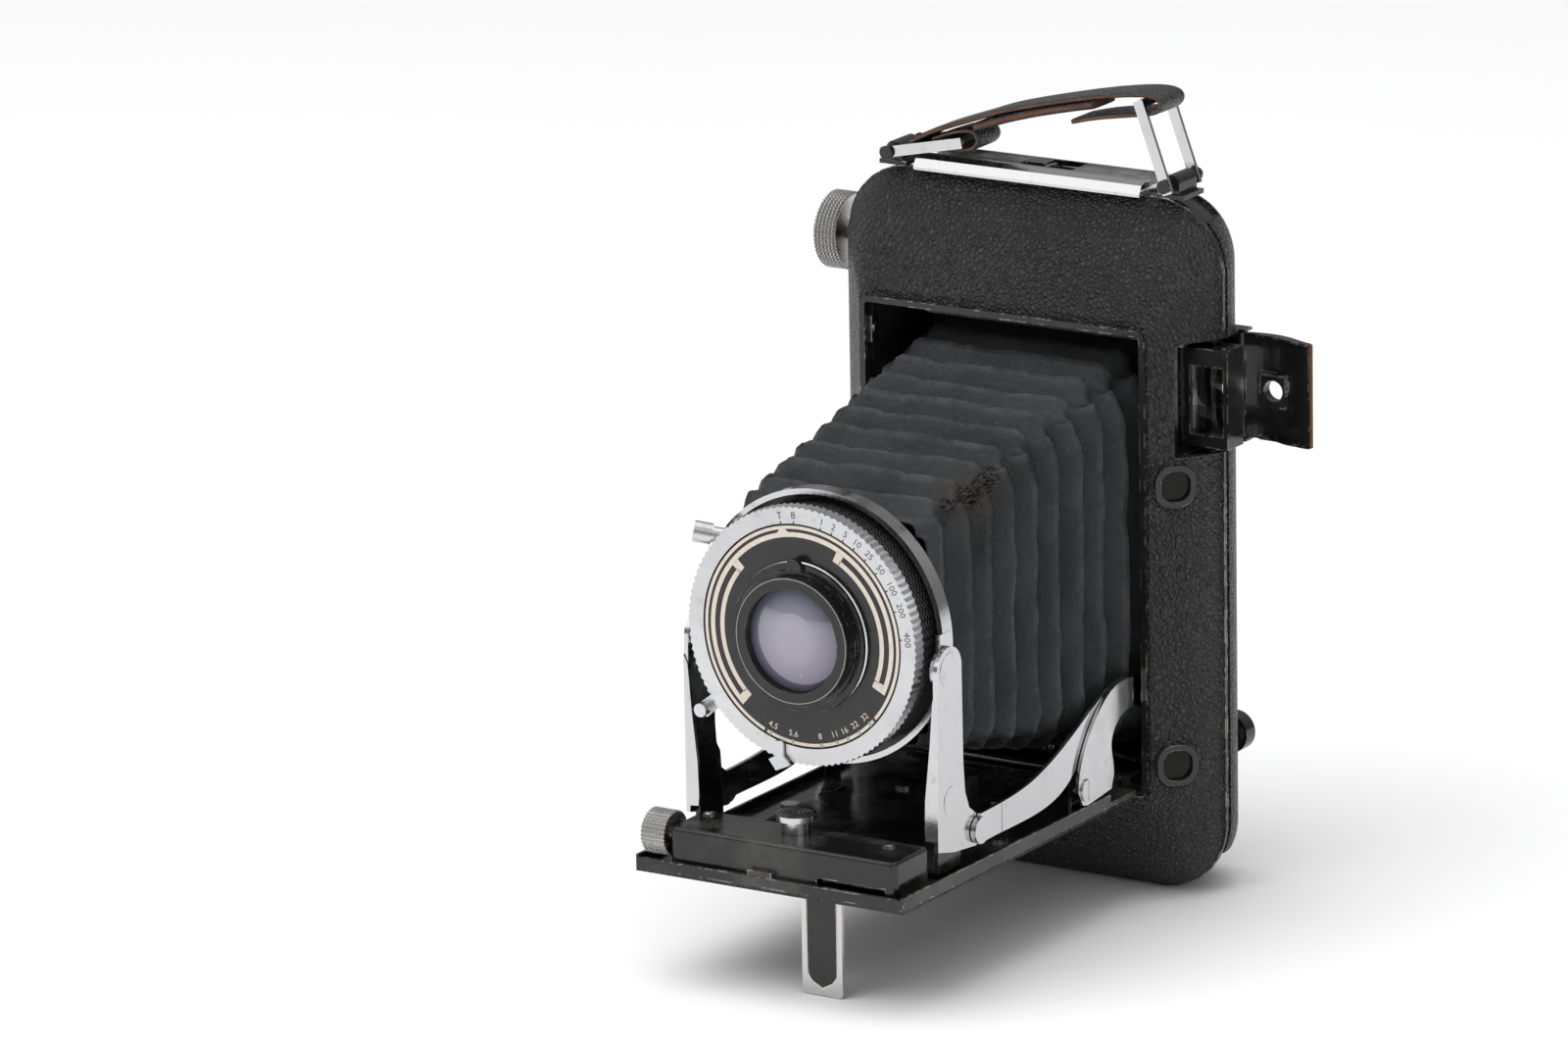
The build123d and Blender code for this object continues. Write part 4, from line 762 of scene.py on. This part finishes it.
upper = [(-30.6, 160.1), (-29.6, 161.2), (-24.4, 164.0), (-14.4, 167.7), (-6.0, 170.6), (8.0, 174.1)]
upper += [(20.0, 176.6), (28.5, 177.7), (32.2, 177.2), (32.9, 175.6), (31.0, 174.0), (25.0, 172.9)]
upper += [(17.0, 171.5), (11.0, 170.0)]
top_band = strap_band("strap_upper", upper, 5.2, 1.15, STRAP, TAN_EDGE, "strap")
lower = [(-30.0, 159.6), (-24.0, 159.8), (-18.0, 160.4), (-14.6, 161.2), (-13.2, 163.0), (-14.6, 164.9)]
lower += [(-19.0, 164.3), (-24.5, 162.3)]
strap_band("strap_fold", lower, 4.9, 0.95, STRAP, TAN_EDGE, "strap")
core = [(-14.0, 165.9), (-6.0, 168.7), (2.0, 171.0), (10.0, 172.9), (16.0, 174.2)]
strap_band("strap_core", core, 5.0, 2.0, STRAP, TAN_EDGE, "strap")
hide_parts("handle_strap")


# ---------------------------------------------------------------- small trim
def plate(name, outline, place, low, high, material, body, slot=None):
    return piece(name, *prism(outline, place, low, high), material, body, slot)


def facing(a, b, y):
    return (a, y, b)


def upright(a, b, z):
    return (a, b, z)


# enamelled panel of the foot, pointed at its lower end
foot = [(4.0, 22.0), (11.2, 22.0), (11.2, 4.6), (10.0, 3.0), (7.6, 1.7), (5.2, 3.0), (4.0, 4.6)]
plate("foot_panel", foot, facing, -110.16, -110.05, ENAMEL, "foot", "face_enamel")
line = [(3.7, 22.2), (11.5, 22.2), (11.5, 4.4), (10.2, 2.7), (7.6, 1.3), (5.0, 2.7), (3.7, 4.4)]
plate("foot_panel_line", line, facing, -110.13, -110.04, CREAM_INK, "foot", "face_enamel")

# worn leather edge and eyepiece lip of the finder flap
edge = [(63.6, 1.9), (64.3, 1.7), (64.5, 2.4), (63.9, 2.9)]
plate("flap_leather_edge", edge, upright, 101.3, 124.3, TAN_EDGE, "finder_rear", "black_leather")
lip = []
for side in (-1, 1):
    bar = [(50.6, 3.55), (57.4, 3.55), (57.4, 3.15), (50.6, 3.15)]
    lip.append(prism(bar, upright, 112.4 + side * 3.75, 112.4 + side * 3.35))
    x0, x1 = 54 + side * 3.4, 54 + side * 3.0
    lip.append(prism([(x0, 3.15), (x1, 3.15), (x1, 3.55), (x0, 3.55)], upright, 108.8, 116.0))
piece("eyepiece_lip", *joined(lip), FINDER, "finder_rear", "finder_black")

# brass pins on the finder block
pins = [tube([(x, y, 123.7), (x, y, 123.95)], 0.5) for x, y in ((43.3, -3.3), (48.4, -8.2))]
piece("finder_pins", *joined(pins), NICKEL, "finder_front", "finder_black")

# the opening spring's long leg
leg = [(-9.4, -14.0, 32.4), (-2.0, -14.4, 33.4), (10.0, -14.8, 33.2), (24.0, -15.2, 31.4)]
leg.append((30.0, -15.4, 30.4))
piece("spring_leg", *tube(leg, 0.4), STEEL, "body", "spring_steel")

# bright catch plates inside the opening's upper left corner
leaf = [(-34.5, -19.4), (-33.7, -19.4), (-33.7, -16.6), (-34.5, -16.6)]
catch = [prism(leaf, upright, 118.0, 124.0)]
catch.append(tube([(-33.7, -18.0, 121.0), (-33.4, -18.0, 121.0)], 1.1))
piece("opening_catch", *joined(catch), STEEL, "body", "pin_steel")


# ---------------------------------------------------------------- stage, light and camera
def floor():
    mesh = bpy.data.meshes.new("floor")
    mesh.from_pydata([(-6, -6, 0), (6, -6, 0), (6, 6, 0), (-6, 6, 0)], [], [[0, 1, 2, 3]])
    mesh.materials.append(ground("pale_floor"))
    obj = bpy.data.objects.new("floor", mesh)
    obj.location.z = -0.0002
    bpy.context.scene.collection.objects.link(obj)


def softbox(name, place, aim, size, watts, tint=(1, 1, 1)):
    data = bpy.data.lights.new(name, "AREA")
    data.shape = "RECTANGLE"
    data.size, data.size_y = size
    data.energy = watts
    data.color = tint
    obj = bpy.data.objects.new(name, data)
    obj.location = place
    obj.rotation_euler = (Vector(aim) - Vector(place)).to_track_quat("-Z", "Y").to_euler()
    bpy.context.scene.collection.objects.link(obj)


floor()
softbox("key", (-0.55, -0.75, 0.95), (0, -0.03, 0.08), (1.1, 1.1), 4.2)
softbox("fill", (0.95, -0.55, 0.55), (0, -0.03, 0.08), (0.9, 1.2), 2.0)
softbox("overhead", (0.05, 0.15, 1.15), (0, -0.03, 0.05), (1.4, 0.9), 3.6)

sun = bpy.data.lights.new("wash", "SUN")
sun.angle = math.radians(60.0)
sun.energy = 1.6
wash = bpy.data.objects.new("wash", sun)
wash.rotation_euler = (math.radians(18.0), math.radians(-12.0), 0.0)
wash.visible_glossy = False
bpy.context.scene.collection.objects.link(wash)

# the room, brighter overhead than at the horizon
world = bpy.data.worlds.new("studio")
bpy.context.scene.world = world
world.use_nodes = True
sky = world.node_tree.nodes
lift = sky.new("ShaderNodeSeparateXYZ")
ramp = sky.new("ShaderNodeMapRange")
world.node_tree.links.new(sky.new("ShaderNodeTexCoord").outputs["Generated"], lift.inputs[0])
world.node_tree.links.new(lift.outputs[2], ramp.inputs["Value"])
ramp.inputs["From Min"].default_value = -0.05
ramp.inputs["From Max"].default_value = 0.8
ramp.inputs["To Min"].default_value = 0.13
ramp.inputs["To Max"].default_value = 0.5
world.node_tree.links.new(ramp.outputs[0], sky["Background"].inputs["Strength"])
sky["Background"].inputs["Color"].default_value = (1.0, 1.0, 1.0, 1.0)
bpy.context.scene.view_settings.view_transform = "Standard"

AZIMUTH, ELEVATION, ROLL = 32.32, 15.27, -1.04
DISTANCE, FOCAL_PX, IMAGE_W = 2281.1, 10530.26, 1600
TARGET = Vector((-56.38, -21.0, 74.53))


def camera():
    az, el, roll = (math.radians(v) for v in (AZIMUTH, ELEVATION, ROLL))
    back = Vector((math.sin(az) * math.cos(el), -math.cos(az) * math.cos(el), math.sin(el)))
    right = Vector((math.cos(az), math.sin(az), 0.0))
    up = back.cross(right)
    r = right * math.cos(roll) + up * math.sin(roll)
    u = up * math.cos(roll) - right * math.sin(roll)
    data = bpy.data.cameras.new("camera")
    data.sensor_width = 36.0
    data.lens = FOCAL_PX / IMAGE_W * 36.0
    data.clip_start, data.clip_end = 0.05, 20.0
    obj = bpy.data.objects.new("camera", data)
    turn = Matrix((r, u, back)).transposed().to_4x4()
    obj.matrix_world = Matrix.Translation((TARGET + back * DISTANCE) * MM) @ turn
    bpy.context.scene.collection.objects.link(obj)
    bpy.context.scene.camera = obj


camera()
